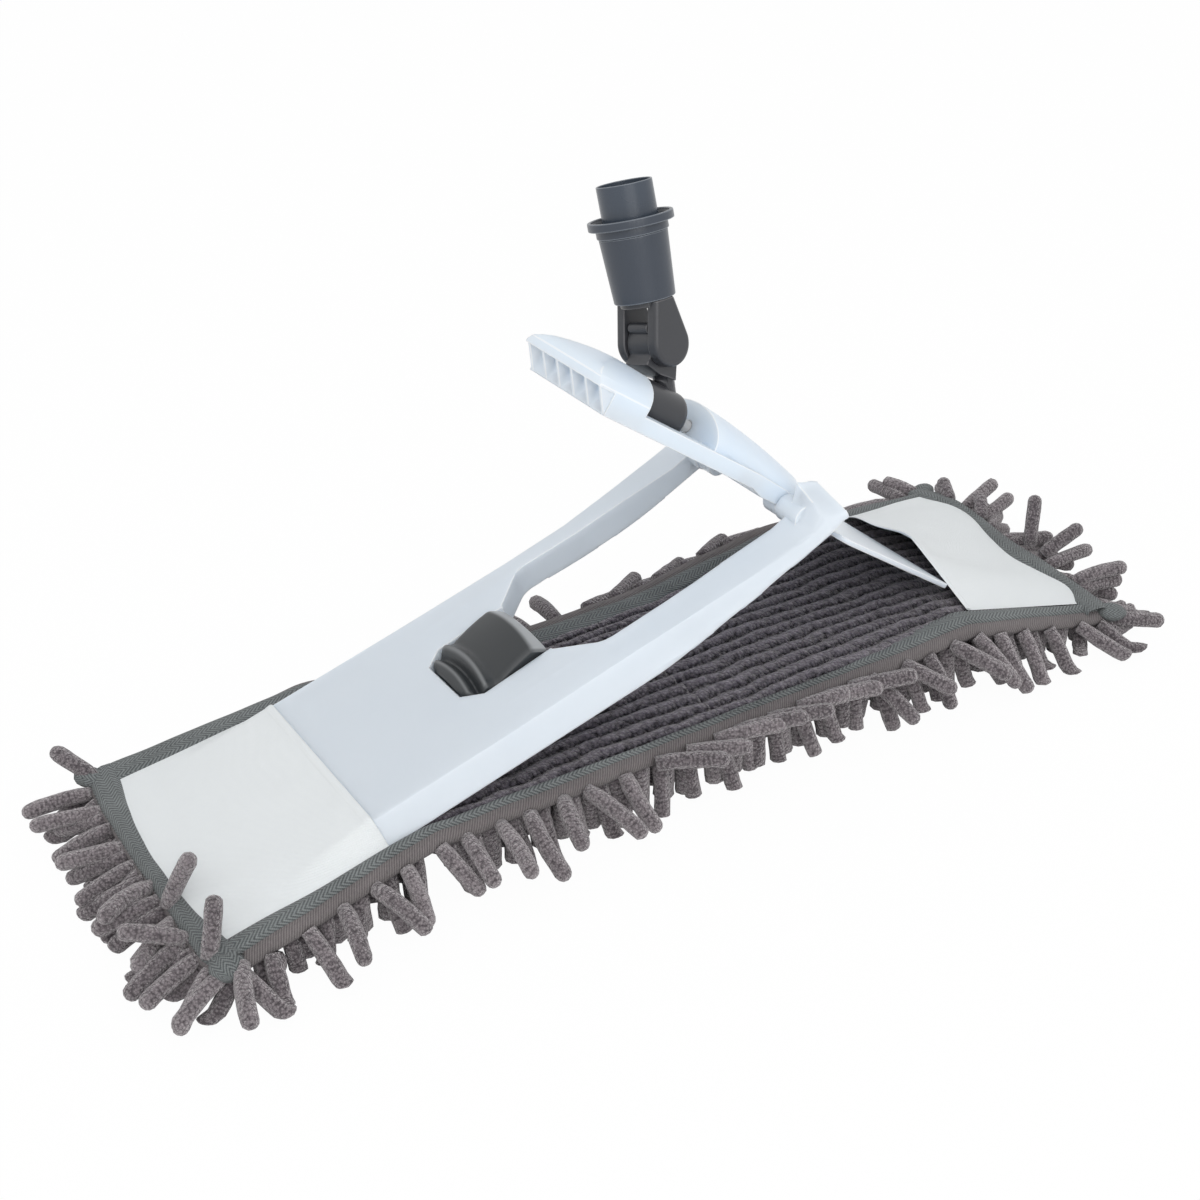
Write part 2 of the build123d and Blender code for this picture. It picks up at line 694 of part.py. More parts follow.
def right_outline(margin):
    """Corners of the pad's right end with a margin past its edge."""
    return outline(pad_right_length + margin, pad_right_half + margin, bend_gap, pad_mid_half + margin)


def rim(u):
    """Height of the left end's rim over the wing's seat, under the tape."""
    return rim_bend + (rim_end - rim_bend) * -u / pad_left_length


left_hole = outline(left_tape_u, left_tape_end, -bend_gap, left_tape_bend)


def left_ring(margin):
    """Rim of the left end as a tall ring, out to a margin past the pad's edge."""
    with BuildPart() as ring:
        with BuildSketch(flat(left_wing_base, below)):
            Polygon(*left_outline(margin), align=None)
            Polygon(*(left_outline(0) if margin else left_hole), align=None, mode=Mode.SUBTRACT)
        extrude(amount=sky)
    return ring.part


def pile_count(length):
    """Number of pile strands that fit along a length of the pad."""
    return int((length - pile_clear - pile_strand) / pile_pitch) + 1


def strand_roots(base, start, end, outward):
    """Planes of the strands along one edge: two staggered rows that clear the floor."""
    start = Vector(*start)
    end = Vector(*end)
    count = round((end - start).length / (strand_pitch / 2))
    tangent = base.from_local_coords(end) - base.from_local_coords(start)
    roots = []
    for i in range(count):
        row = i % 2
        foot = start + (end - start) * ((i + 0.5) / count)
        root = base.from_local_coords(foot - Vector(0, 0, row * row_drop))
        room = (root.Z - strand / 2 - 0.4) / fringe_length
        dip = min(radians(row_dip[row]), asin(min(1.0, room)))
        aim = outward * cos(dip) - Vector(0, 0, sin(dip))
        sunk = root - outward * (root_depth - strand / 2 * sin(dip))
        roots.append(Plane(sunk, x_dir=tangent, z_dir=aim))
    return roots


# Middle of the pad, with ridges along its top
pile_rows = int((2 * pad_mid_half - backing_inset - pile_strand) / pile_pitch) + 1
mid_bottom = -ridge_height - pad_core
with BuildPart() as pad_base_mid:
    with BuildSketch(flat(pad_mid, mid_bottom)):
        with Locations((pad_mid_length / 2, 0)):
            Rectangle(pad_mid_length - bend_gap, 2 * pad_mid_half)
    extrude(amount=pad_core)
    with BuildSketch(across(pad_mid, bend_gap / 2)):
        with Locations((0, -2 * ridge_height)):
            with GridLocations(ridge_pitch, 1, ridge_count, 1):
                Ellipse(ridge_pitch / 2 - 0.1, 2 * ridge_height)
    extrude(amount=pad_mid_length - bend_gap)
pad_base_mid.part.label = "pad_base_mid"
export_step(pad_base_mid.part, "parts/pad_base_mid.step")

with BuildPart() as tape_near:
    with BuildSketch(flat(pad_mid, -ridge_height)):
        with Locations((pad_mid_length / 2, -pad_mid_half + tape_width / 2)):
            Rectangle(pad_mid_length - bend_gap, tape_width)
    extrude(amount=tape_thick)
tape_near.part.label = "tape_near"
export_step(tape_near.part, "parts/tape_near.step")

with BuildPart() as tape_far:
    with BuildSketch(flat(pad_mid, -ridge_height)):
        with Locations((pad_mid_length / 2, pad_mid_half - tape_width / 2)):
            Rectangle(pad_mid_length - bend_gap, tape_width)
    extrude(amount=tape_thick)
tape_far.part.label = "tape_far"
export_step(tape_far.part, "parts/tape_far.step")

# Fringes of the middle: an edge strip and its strands
strand_high = -ridge_height + tape_thick - root_drop
fringe_edge = pad_mid_half + fringe_strip
with BuildPart() as fringe_near:
    with BuildSketch(flat(pad_mid, mid_bottom)):
        with Locations((pad_mid_length / 2, -pad_mid_half - fringe_strip / 2)):
            Rectangle(pad_mid_length - bend_gap, fringe_strip)
    extrude(amount=pad_core + tape_thick)
    with BuildSketch(*strand_roots(pad_mid, (bend_gap, -fringe_edge, strand_high),
                                   (pad_mid_length - bend_gap, -fringe_edge, strand_high), Vector(0, -1, 0))):
        Rectangle(strand, strand)
    extrude(amount=fringe_length)
fringe_near.part.label = "fringe_near"
export_step(fringe_near.part, "parts/fringe_near.step")

with BuildPart() as fringe_far:
    with BuildSketch(flat(pad_mid, mid_bottom)):
        with Locations((pad_mid_length / 2, pad_mid_half + fringe_strip / 2)):
            Rectangle(pad_mid_length - bend_gap, fringe_strip)
    extrude(amount=pad_core + tape_thick)
    with BuildSketch(*strand_roots(pad_mid, (bend_gap, fringe_edge, strand_high),
                                   (pad_mid_length - bend_gap, fringe_edge, strand_high), Vector(0, 1, 0))):
        Rectangle(strand, strand)
    extrude(amount=fringe_length)
fringe_far.part.label = "fringe_far"
export_step(fringe_far.part, "parts/fringe_far.step")

# Pile under the middle, which the mop stands on
with BuildPart() as pile_mid:
    with BuildSketch(flat(pad_mid, mid_bottom - backing)):
        with Locations((pad_mid_length / 2, 0)):
            Rectangle(pad_mid_length - pile_clear, 2 * pad_mid_half - backing_inset)
    extrude(amount=backing)
    with BuildSketch(Plane.XY):
        with Locations((left_bend_x + pad_mid_length / 2, 0)):
            with GridLocations(pile_pitch, pile_pitch, pile_count(pad_mid_length), pile_rows):
                Rectangle(pile_strand, pile_strand)
    extrude(amount=pad_rise + mid_bottom - backing / 2)
pile_mid.part.label = "pile_mid"
export_step(pile_mid.part, "parts/pile_mid.step")

# Left end of the pad: a shallow tray round the wing's tip
left_bottom = -left_seat_drop - pad_end_core
far_u = -pad_left_length - 10
with BuildPart() as pad_base_left:
    add(left_ring(0))
    with BuildSketch(side(left_wing_base)):
        Polygon((0, left_bottom), (far_u, left_bottom), (far_u, rim(far_u)), (0, rim(0)), align=None)
    extrude(amount=2 * pad_left_half, both=True, mode=Mode.INTERSECT)
    with BuildSketch(flat(left_wing_base, left_bottom)):
        Polygon(*left_hole, align=None)
    extrude(amount=pad_end_core)
pad_base_left.part.label = "pad_base_left"
export_step(pad_base_left.part, "parts/pad_base_left.step")

with BuildPart() as tape_left:
    add(left_ring(0))
    with BuildSketch(side(left_wing_base)):
        Polygon((0, rim(0)), (far_u, rim(far_u)), (far_u, rim(far_u) + tape_thick), (0, rim(0) + tape_thick),
                align=None)
    extrude(amount=2 * pad_left_half, both=True, mode=Mode.INTERSECT)
tape_left.part.label = "tape_left"
export_step(tape_left.part, "parts/tape_left.step")

# Left pocket: cloth over the wing's tip, sewn down inside the tape
pocket_low = left_bottom + pad_end_core + sewn_gap
with BuildPart() as left_pocket:
    for u, half, shoulder, high in (
        (left_tape_u + pocket_seam, left_tape_end - pocket_seam, pocket_end_shoulder, pocket_end_top),
        (pocket_mouth, pocket_mouth_half, pocket_mouth_shoulder, pocket_mouth_top),
    ):
        inside = half - cloth_thick - 0.1
        with BuildSketch(across(left_wing_base, u)):
            with BuildLine():
                right_half = Polyline((0, high), (half - pocket_slant, high), (half, shoulder),
                                      (half, pocket_low), (inside, pocket_low), (inside, shoulder - 0.8),
                                      (half - pocket_slant - 0.9, high - cloth_thick),
                                      (0, high - cloth_thick))
                mirror(right_half, about=Plane.YZ)
            make_face()
    loft(ruled=True)
left_pocket.part.label = "left_pocket"
export_step(left_pocket.part, "parts/left_pocket.step")

with BuildPart() as fringe_left:
    add(left_ring(fringe_strip))
    with BuildSketch(side(left_wing_base)):
        Polygon((0, left_bottom), (far_u, left_bottom), (far_u, rim(far_u) + tape_thick),
                (0, rim(0) + tape_thick), align=None)
    extrude(amount=2 * pad_left_half, both=True, mode=Mode.INTERSECT)
    left_edge_u = -pad_left_length - fringe_strip
    left_edge_y = pad_left_half + fringe_strip
    end_height = rim(left_edge_u) - end_strand_drop
    bend_height = rim(-6) - 2.4
    near_side = strand_roots(left_wing_base, (left_edge_u + 5, -left_edge_y + 0.5, end_height),
                             (-6, -fringe_edge - 0.4, bend_height), Vector(0, -1, 0))
    far_side = strand_roots(left_wing_base, (left_edge_u + 5, left_edge_y - 0.5, end_height),
                            (-6, fringe_edge + 0.4, bend_height), Vector(0, 1, 0))
    end_side = strand_roots(left_wing_base, (left_edge_u, -left_edge_y + 4, end_height),
                            (left_edge_u, left_edge_y - 4, end_height), Vector(-1, 0, 0))
    with BuildSketch(*near_side, *far_side, *end_side):
        Rectangle(strand, strand)
    extrude(amount=fringe_length)
fringe_left.part.label = "fringe_left"
export_step(fringe_left.part, "parts/fringe_left.step")

with BuildPart() as pile_left:
    with BuildSketch(Plane.XY):
        with Locations((left_bend_x - (pad_left_length + pile_clear) / 2, 0)):
            with GridLocations(pile_pitch, pile_pitch, pile_count(pad_left_length), pile_rows):
                Rectangle(pile_strand, pile_strand)
    extrude(amount=pad_rise + 10)
    split(bisect_by=flat(left_wing_base, left_bottom - backing / 2), keep=Keep.BOTTOM)
    with BuildSketch(flat(left_wing_base, left_bottom - backing)):
        Polygon(*outline(-pad_left_length + backing_inset, pad_left_half - backing_inset,
                         -bend_gap - backing_inset, pad_mid_half - backing_inset / 2), align=None)
    extrude(amount=backing)
pile_left.part.label = "pile_left"
export_step(pile_left.part, "parts/pile_left.step")

# Right end of the pad, which the wing's plate slides over
right_top = -tape_thick
right_bottom = right_top - pad_end_core
with BuildPart() as pad_base_right:
    with BuildSketch(flat(pad_right, right_bottom)):
        Polygon(*right_outline(0), align=None)
    extrude(amount=pad_end_core)
pad_base_right.part.label = "pad_base_right"
export_step(pad_base_right.part, "parts/pad_base_right.step")

with BuildPart() as tape_right:
    with BuildSketch(flat(pad_right, right_top)):
        Polygon(*right_outline(0), align=None)
        Polygon(*outline(right_tape_u, right_tape_end, bend_gap, right_tape_bend), align=None,
                mode=Mode.SUBTRACT)
    extrude(amount=tape_thick)
tape_right.part.label = "tape_right"
export_step(tape_right.part, "parts/tape_right.step")

# Right pocket: an arch of cloth that stands open at its mouth
with BuildPart() as right_pocket:
    seam_low = right_top + sewn_gap
    for thin, ends in ((0.0, 0.0), (cloth_thick, cloth_thick / 2)):
        for u, half, high in (
            (right_mouth_u - ends, right_mouth_half, mouth_rise),
            (right_arch_u, right_arch_half, right_arch_rise),
            (right_tape_u - pocket_seam + ends, right_tape_end - pocket_seam, right_seam_rise),
        ):
            with BuildSketch(across(pad_right, u)):
                with BuildLine():
                    Line((-half + thin, seam_low), (half - thin, seam_low))
                    EllipticalCenterArc((0, seam_low), half - thin, high - right_top - thin,
                                        start_angle=0, arc_size=180)
                make_face()
        loft(mode=Mode.SUBTRACT if thin else Mode.ADD)
right_pocket.part.label = "right_pocket"
export_step(right_pocket.part, "parts/right_pocket.step")

with BuildPart() as fringe_right:
    with BuildSketch(flat(pad_right, right_bottom)):
        Polygon(*right_outline(fringe_strip), align=None)
        Polygon(*right_outline(0), align=None, mode=Mode.SUBTRACT)
    extrude(amount=pad_end_core + tape_thick)
    right_edge_u = pad_right_length + fringe_strip
    right_edge_y = pad_right_half + fringe_strip
    right_height = right_top + tape_thick - root_drop
    near_side = strand_roots(pad_right, (6, -fringe_edge - 0.4, right_height),
                             (right_edge_u - 5, -right_edge_y + 0.5, right_height), Vector(0, -1, 0))
    far_side = strand_roots(pad_right, (6, fringe_edge + 0.4, right_height),
                            (right_edge_u - 5, right_edge_y - 0.5, right_height), Vector(0, 1, 0))
    end_side = strand_roots(pad_right, (right_edge_u, -right_edge_y + 4, right_height),
                            (right_edge_u, right_edge_y - 4, right_height), Vector(1, 0, 0))
    with BuildSketch(*near_side, *far_side, *end_side):
        Rectangle(strand, strand)
    extrude(amount=fringe_length)
fringe_right.part.label = "fringe_right"
export_step(fringe_right.part, "parts/fringe_right.step")

with BuildPart() as pile_right:
    with BuildSketch(Plane.XY):
        with Locations((right_bend_x + (pad_right_length + pile_clear) / 2, 0)):
            with GridLocations(pile_pitch, pile_pitch, pile_count(pad_right_length), pile_rows):
                Rectangle(pile_strand, pile_strand)
    extrude(amount=pad_rise + 10)
    split(bisect_by=flat(pad_right, right_bottom - backing / 2), keep=Keep.BOTTOM)
    with BuildSketch(flat(pad_right, right_bottom - backing)):
        Polygon(*outline(pad_right_length - backing_inset, pad_right_half - backing_inset,
                         bend_gap + backing_inset, pad_mid_half - backing_inset / 2), align=None)
    extrude(amount=backing)
pile_right.part.label = "pile_right"
export_step(pile_right.part, "parts/pile_right.step")
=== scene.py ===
import json
import math
import random

import bmesh
import bpy
import numpy
from mathutils import Matrix, Vector, noise
from mathutils.bvhtree import BVHTree


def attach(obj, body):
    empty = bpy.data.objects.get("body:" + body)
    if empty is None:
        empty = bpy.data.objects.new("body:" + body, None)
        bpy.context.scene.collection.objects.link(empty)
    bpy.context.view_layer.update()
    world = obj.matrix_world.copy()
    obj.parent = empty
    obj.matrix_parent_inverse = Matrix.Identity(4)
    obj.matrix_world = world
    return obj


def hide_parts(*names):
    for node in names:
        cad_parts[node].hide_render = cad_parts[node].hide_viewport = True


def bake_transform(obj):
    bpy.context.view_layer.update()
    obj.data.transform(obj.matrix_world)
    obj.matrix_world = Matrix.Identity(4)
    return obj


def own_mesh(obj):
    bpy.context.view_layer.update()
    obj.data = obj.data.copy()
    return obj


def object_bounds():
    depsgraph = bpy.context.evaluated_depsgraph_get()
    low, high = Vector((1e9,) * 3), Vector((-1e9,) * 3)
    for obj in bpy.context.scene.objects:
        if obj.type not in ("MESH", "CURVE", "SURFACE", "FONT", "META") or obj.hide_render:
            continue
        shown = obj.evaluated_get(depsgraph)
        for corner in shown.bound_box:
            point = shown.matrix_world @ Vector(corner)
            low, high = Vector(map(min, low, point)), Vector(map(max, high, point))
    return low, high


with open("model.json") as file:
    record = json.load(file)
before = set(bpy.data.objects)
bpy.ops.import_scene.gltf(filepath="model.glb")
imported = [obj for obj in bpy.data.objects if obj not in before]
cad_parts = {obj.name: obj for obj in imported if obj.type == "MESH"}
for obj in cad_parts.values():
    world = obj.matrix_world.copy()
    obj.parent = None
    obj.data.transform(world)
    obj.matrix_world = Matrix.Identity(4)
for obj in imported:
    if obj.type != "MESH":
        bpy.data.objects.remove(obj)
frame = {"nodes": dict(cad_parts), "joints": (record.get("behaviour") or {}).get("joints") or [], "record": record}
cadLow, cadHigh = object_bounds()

scene = bpy.context.scene
scene.view_settings.view_transform = "Standard"
jointPlaces = {joint["name"]: Vector(joint["pos_m"]) for joint in frame["joints"]}
dice = random.Random(11)


class Wire:
    # a shader socket that can be used in Python sums
    def __init__(self, tree, socket=None):
        self.tree = tree
        self.socket = socket

    def node(self, kind, settings=None, inputs=None, out=0):
        made = self.tree.nodes.new(kind)
        for name, value in (settings or {}).items():
            setattr(made, name, value)
        for name, value in (inputs or {}).items():
            if isinstance(value, Wire):
                self.tree.links.new(value.socket, made.inputs[name])
            else:
                made.inputs[name].default_value = value
        return Wire(self.tree, made.outputs[out]) if len(made.outputs) else made

    def maths(self, operation, first, second=0.0):
        return self.node("ShaderNodeMath", {"operation": operation}, {0: first, 1: second})

    def mix(self, share, first, second):
        ends = [colour if isinstance(colour, Wire) else (*colour, 1.0) for colour in (first, second)]
        inputs = {"Factor": share, 6: ends[0], 7: ends[1]}
        return self.node("ShaderNodeMix", {"data_type": "RGBA"}, inputs, out=2)

    def clamped(self, value):
        return self.node("ShaderNodeClamp", None, {"Value": value})

    def noise(self, place, scale, detail):
        return self.node("ShaderNodeTexNoise", None, {"Vector": place, "Scale": scale, "Detail": detail})

    def bump(self, height, strength, depth):
        inputs = {"Height": height, "Strength": strength, "Distance": depth}
        return self.node("ShaderNodeBump", None, inputs)

    def attribute(self, name):
        return self.node("ShaderNodeAttribute", {"attribute_name": name}, out="Fac")

    def wave(self, turns):
        return self.maths("SINE", math.tau * turns)

    def seen(self):
        # rays from the camera and those that gloss sends on
        rays = [self.node("ShaderNodeLightPath", out=name) for name in ("Is Camera Ray", "Is Glossy Ray")]
        return self.maths("MAXIMUM", *rays)

    def __add__(self, other):
        return self.maths("ADD", self, other)

    def __sub__(self, other):
        return self.maths("SUBTRACT", self, other)

    def __rsub__(self, other):
        return self.maths("SUBTRACT", other, self)

    def __mul__(self, other):
        return self.maths("MULTIPLY", self, other)

    __radd__ = __add__
    __rmul__ = __mul__


def newMaterial(name):
    material = bpy.data.materials.new(name)
    material.use_nodes = True
    material.node_tree.nodes.clear()
    return material, Wire(material.node_tree)


def closeMaterial(graph, shader):
    graph.node("ShaderNodeOutputMaterial", None, {"Surface": shader})


# moulded plastic with a fine grain, slow changes of tone and a painted highlight: where the "pale" attribute is
# set, the colour goes towards the edge colour
plasticSet = {"slowScale": 24.0, "grainDepth": 0.0004, "roughSwing": 0.12, "scatter": 0.012}


def mouldedPlastic(name, colour, shade, edge, roughness, grain, speck, letsThrough=0.0):
    material, graph = newMaterial(name)
    place = graph.node("ShaderNodeTexCoord", out="Object")
    slow = graph.noise(place, plasticSet["slowScale"], 3.0)
    fine = graph.noise(place, grain, 2.0)
    # painted highlight: the edge colour is mixed in where the "pale" attribute is set
    tone = graph.mix(graph.attribute("pale"), graph.mix(slow, colour, shade), edge)
    rough = roughness - 0.5 * plasticSet["roughSwing"] + plasticSet["roughSwing"] * slow
    shader = graph.node("ShaderNodeBsdfPrincipled", None, {
        "Base Color": tone, "Roughness": rough, "Normal": graph.bump(fine, speck, plasticSet["grainDepth"]),
        "Subsurface Weight": letsThrough, "Subsurface Radius": (1.0, 1.0, 1.0),
        "Subsurface Scale": plasticSet["scatter"]})
    closeMaterial(graph, shader)
    return material


# chenille: small tufts with painted shade in the gaps between them, a fine fuzz, faint rings and a tone from the
# piece: random for each strand, a painted shade in the valleys on the pad's top
chenilleSet = {
    "fuzzScale": 2600.0, "patchScale": 260.0, "tuftDepth": 0.0009, "sheenTint": (0.94, 0.90, 0.91, 1.0),
}


def chenilleCloth(name, light, dark, tuftSize, ring, toneShare, sheen):
    material, graph = newMaterial(name)
    place = graph.node("ShaderNodeTexCoord", out="Object")
    tone = graph.attribute("tone")
    fuzz = graph.noise(place, chenilleSet["fuzzScale"], 3.0)
    patch = graph.noise(place, chenilleSet["patchScale"], 2.0)
    cell = graph.node("ShaderNodeTexVoronoi", None, {
        "Vector": place, "Scale": 1.0 / tuftSize, "Randomness": 0.9})
    # tufts: colour and bump lighter at each tuft's middle; the dark gaps between tufts are painted shade
    tuft = 1.0 - 1.35 * cell
    wave = graph.maths("SINE", graph.attribute("along") * (math.tau / ring) + 5.0 * patch)
    mixer = graph.clamped(0.50 * tuft + 0.70 * fuzz + 0.06 * wave + 0.30 * patch + toneShare * tone - 0.66)
    height = 0.9 * tuft + 1.1 * fuzz + 0.14 * wave
    shader = graph.node("ShaderNodeBsdfPrincipled", None, {
        "Base Color": graph.mix(mixer, dark, light), "Roughness": 0.95,
        "Normal": graph.bump(height, 0.85, chenilleSet["tuftDepth"]), "Sheen Weight": sheen,
        "Sheen Roughness": 0.34, "Sheen Tint": chenilleSet["sheenTint"], "Specular IOR Level": 0.1})
    closeMaterial(graph, shader)
    return material


# woven tape or twill: slanted threads in the piece's own UV, in metres
weaveSet = {"fuzzScale": 900.0, "patchScale": 60.0, "threadDepth": 0.0005, "knotShare": 0.6}


def wovenTape(name, light, dark, thread, column, slant):
    material, graph = newMaterial(name)
    uv = graph.node("ShaderNodeUVMap", {"uv_map": "weave"})
    along, over = [graph.node("ShaderNodeSeparateXYZ", None, {0: uv}, out=axis) for axis in (0, 1)]
    fold = graph.maths("PINGPONG", over, column) if column else over
    stripe = 0.5 + 0.5 * graph.wave((along + slant * fold) * (1.0 / thread))
    knots = 0.5 + 0.5 * graph.wave((along - slant * fold) * (1.0 / (weaveSet["knotShare"] * thread)))
    place = graph.node("ShaderNodeTexCoord", out="Object")
    fuzz = graph.noise(place, weaveSet["fuzzScale"], 3.0)
    patch = graph.noise(place, weaveSet["patchScale"], 2.0)
    mixer = graph.clamped(0.62 * stripe + 0.2 * knots + 0.5 * fuzz + 0.4 * patch - 0.42)
    height = 0.8 * stripe + 0.3 * knots + 0.5 * fuzz
    shader = graph.node("ShaderNodeBsdfPrincipled", None, {
        "Base Color": graph.mix(mixer, dark, light), "Roughness": 0.9,
        "Normal": graph.bump(height, 0.6, weaveSet["threadDepth"]), "Sheen Weight": 0.12,
        "Specular IOR Level": 0.15})
    closeMaterial(graph, shader)
    return material


# each plastic's edge colour is the colour of its painted highlight along edges
finishes = {
    "white_plastic": mouldedPlastic(
        "whitePlastic", colour=(0.715, 0.80, 0.90), shade=(0.665, 0.755, 0.86), edge=(0.93, 0.95, 0.97),
        roughness=0.34, grain=1800, speck=0.05, letsThrough=0.6),
    "pedal_plastic": mouldedPlastic(
        "pedalPlastic", colour=(0.027, 0.031, 0.034), shade=(0.021, 0.024, 0.027), edge=(0.44, 0.455, 0.465),
        roughness=0.36, grain=2600, speck=0.20),
    "joint_plastic": mouldedPlastic(
        "jointPlastic", colour=(0.046, 0.048, 0.054), shade=(0.036, 0.037, 0.042), edge=(0.15, 0.145, 0.15),
        roughness=0.34, grain=2200, speck=0.12),
    "socket_plastic": mouldedPlastic(
        "socketPlastic", colour=(0.044, 0.054, 0.072), shade=(0.034, 0.043, 0.059), edge=(0.24, 0.265, 0.30),
        roughness=0.32, grain=2200, speck=0.10),
    "tube_paint": mouldedPlastic(
        "tubePaint", colour=(0.052, 0.066, 0.088), shade=(0.041, 0.053, 0.073), edge=(0.24, 0.265, 0.30),
        roughness=0.28, grain=1600, speck=0.06),
    "pin_steel": mouldedPlastic(
        "pinSteel", colour=(0.50, 0.50, 0.50), shade=(0.42, 0.42, 0.42), edge=(0.70, 0.70, 0.70),
        roughness=0.35, grain=1600, speck=0.10),
    "pocket_cloth": wovenTape(
        "pocketCloth", light=(0.92, 0.955, 0.968), dark=(0.86, 0.895, 0.91), thread=0.0008, column=0.0,
        slant=1.0),
    "tape_cloth": wovenTape(
        "tapeCloth", light=(0.260, 0.280, 0.282), dark=(0.060, 0.066, 0.068), thread=0.0019, column=0.0029,
        slant=1.25),
    "chenille": chenilleCloth(
        "chenille", light=(0.60, 0.535, 0.560), dark=(0.095, 0.083, 0.090), tuftSize=0.0010, ring=0.0021,
        toneShare=0.34, sheen=0.9),
}
edgeCloth = wovenTape(
    "edgeCloth", light=(0.255, 0.232, 0.232), dark=(0.090, 0.081, 0.083), thread=0.0011, column=0.0,
    slant=0.6)
# deep chenille for the pad's top; its dark colour shows as the painted shade in the gaps and valleys
deepChenille = chenilleCloth(
    "deepChenille", light=(0.232, 0.210, 0.250), dark=(0.007, 0.006, 0.009), tuftSize=0.0015, ring=0.0060,
    toneShare=0.74, sheen=0.6)
bodies = frame["record"]["behaviour"]["bodies"]
bodyOf = {node: body for body, members in bodies.items() for node in members}
slotOf = {part["node"]: part["material_slot"] for part in frame["record"]["subparts"]}
for node, slot in slotOf.items():
    mesh = frame["nodes"][node].data
    mesh.materials.clear()
    mesh.materials.append(finishes[slot])
print("materials on the CAD nodes")

# the pad's own sizes in metres, as the CAD has them
padSet = {
    "bendDepth": 0.003, "midLength": 0.2568, "midHalf": 0.0622,
    "leftLength": 0.091, "leftHalf": 0.0715, "leftSlope": 15.0, "leftSeat": 0.0012,
    "leftRimBend": -0.0017, "leftRimEnd": 0.0086,
    "rightLength": 0.0824, "rightHalf": 0.0694, "rightSlope": 11.8,
    "midRim": -0.0016, "rightRim": -0.001, "under": 0.007, "easing": 0.007,
}
leftBend = jointPlaces["left_bend"]
rightBend = jointPlaces["right_bend"]
padTop = leftBend.z + padSet["bendDepth"]
leftTurn = math.radians(padSet["leftSlope"])
leftAlong = Vector((math.cos(leftTurn), 0, math.sin(leftTurn)))
leftUp = Vector((-math.sin(leftTurn), 0, math.cos(leftTurn)))
rightTurn = math.radians(padSet["rightSlope"])
rightAlong = Vector((math.cos(rightTurn), 0, -math.sin(rightTurn)))
rightUp = Vector((math.sin(rightTurn), 0, math.cos(rightTurn)))
leftFoot = Vector((leftBend.x, 0, padTop))
rightFoot = Vector((rightBend.x, 0, padTop))
wingFoot = Vector((leftBend.x, 0, padTop + padSet["leftSeat"]))
leftEnd = -padSet["leftLength"]
midLength = padSet["midLength"]
padMiddle = midLength / 2
padEnd = midLength + padSet["rightLength"]
# edges of the pad's soft ends, as places along the end for places across it
leftEdge = ((-0.0715, -0.0910), (-0.066, -0.0945), (-0.057, -0.0965), (-0.030, -0.0968), (0.0, -0.0972),
            (0.030, -0.0970), (0.057, -0.0960), (0.066, -0.0948), (0.0715, -0.0912))
leftSeam = ((-0.0715, -0.0840), (-0.058, -0.0866), (-0.045, -0.0891), (-0.030, -0.0910), (0.0, -0.0921),
            (0.028, -0.0905), (0.050, -0.0868), (0.0715, -0.0842))
rightEdge = ((-0.0694, 0.0800), (-0.045, 0.0842), (-0.020, 0.0856), (0.005, 0.0856), (0.030, 0.0886),
             (0.050, 0.0900), (0.0694, 0.0848))
rightSeam = ((-0.0694, 0.0660), (-0.058, 0.0680), (-0.048, 0.0745), (-0.040, 0.0775), (-0.025, 0.0752),
             (-0.010, 0.0728), (0.010, 0.0770), (0.032, 0.0835), (0.045, 0.0830), (0.057, 0.0760),
             (0.0694, 0.0740))
# how far the right end's rim stands up, for places across it
rightLift = ((-0.0694, 0.0), (-0.045, 0.0005), (-0.020, 0.0018), (0.005, 0.0030), (0.030, 0.0048),
             (0.050, 0.0056), (0.0694, 0.0042))


def ease(value):
    value = min(1.0, max(0.0, value))
    return value * value * (3 - 2 * value)


def through(points, x):
    # smooth line through a few places
    last = len(points) - 1
    index = 0
    while index < last - 1 and x > points[index + 1][0]:
        index += 1
    (x1, v1), (x2, v2) = points[index], points[index + 1]
    x0, v0 = points[index - 1] if index else (2 * x1 - x2, 2 * v1 - v2)
    x3, v3 = points[index + 2] if index + 2 <= last else (2 * x2 - x1, 2 * v2 - v1)
    t = min(1.0, max(0.0, (x - x1) / (x2 - x1)))
    first = (v2 - v0) / (x2 - x0) * (x2 - x1)
    second = (v3 - v1) / (x3 - x1) * (x2 - x1)
    return (v1 * (2 * t ** 3 - 3 * t * t + 1) + v2 * (3 * t * t - 2 * t ** 3)
            + first * (t ** 3 - 2 * t * t + t) + second * (t ** 3 - t * t))


def spread(first, last, step):
    count = max(2, round(abs(last - first) / step))
    return [first + (last - first) * index / count for index in range(count + 1)]


def overWing(u, y, height):
    # point over the base line of the left wing and the pad's left end
    place = wingFoot + leftAlong * u + leftUp * height
    return Vector((place.x, y, place.z))


def overRight(u, y, height):
    # point over the pad's right end
    place = rightFoot + rightAlong * u + rightUp * height
    return Vector((place.x, y, place.z))


def leftRim(u):
    # the left end's rim climbs towards the tip
    return padSet["leftRimBend"] - (padSet["leftRimEnd"] - padSet["leftRimBend"]) * u / padSet["leftLength"]


def rightRim(u, y):
    return padSet["rightRim"] + through(rightLift, y) * ease(u / padSet["rightLength"])


# the far edge of the middle is rolled in and lies lower than the near one
farSet = {"pull": 0.0100, "drop": 0.0042, "from": 0.0, "full": 0.06, "ease": 0.14, "gone": 0.25}


def rolled(s, y):
    grown = ease((s - farSet["from"]) / (farSet["full"] - farSet["from"]))
    grown *= ease((farSet["gone"] - s) / (farSet["gone"] - farSet["ease"]))
    share = max(0.0, y) / padSet["midHalf"]
    return y - grown * farSet["pull"] * share, -grown * farSet["drop"] * ease(share)


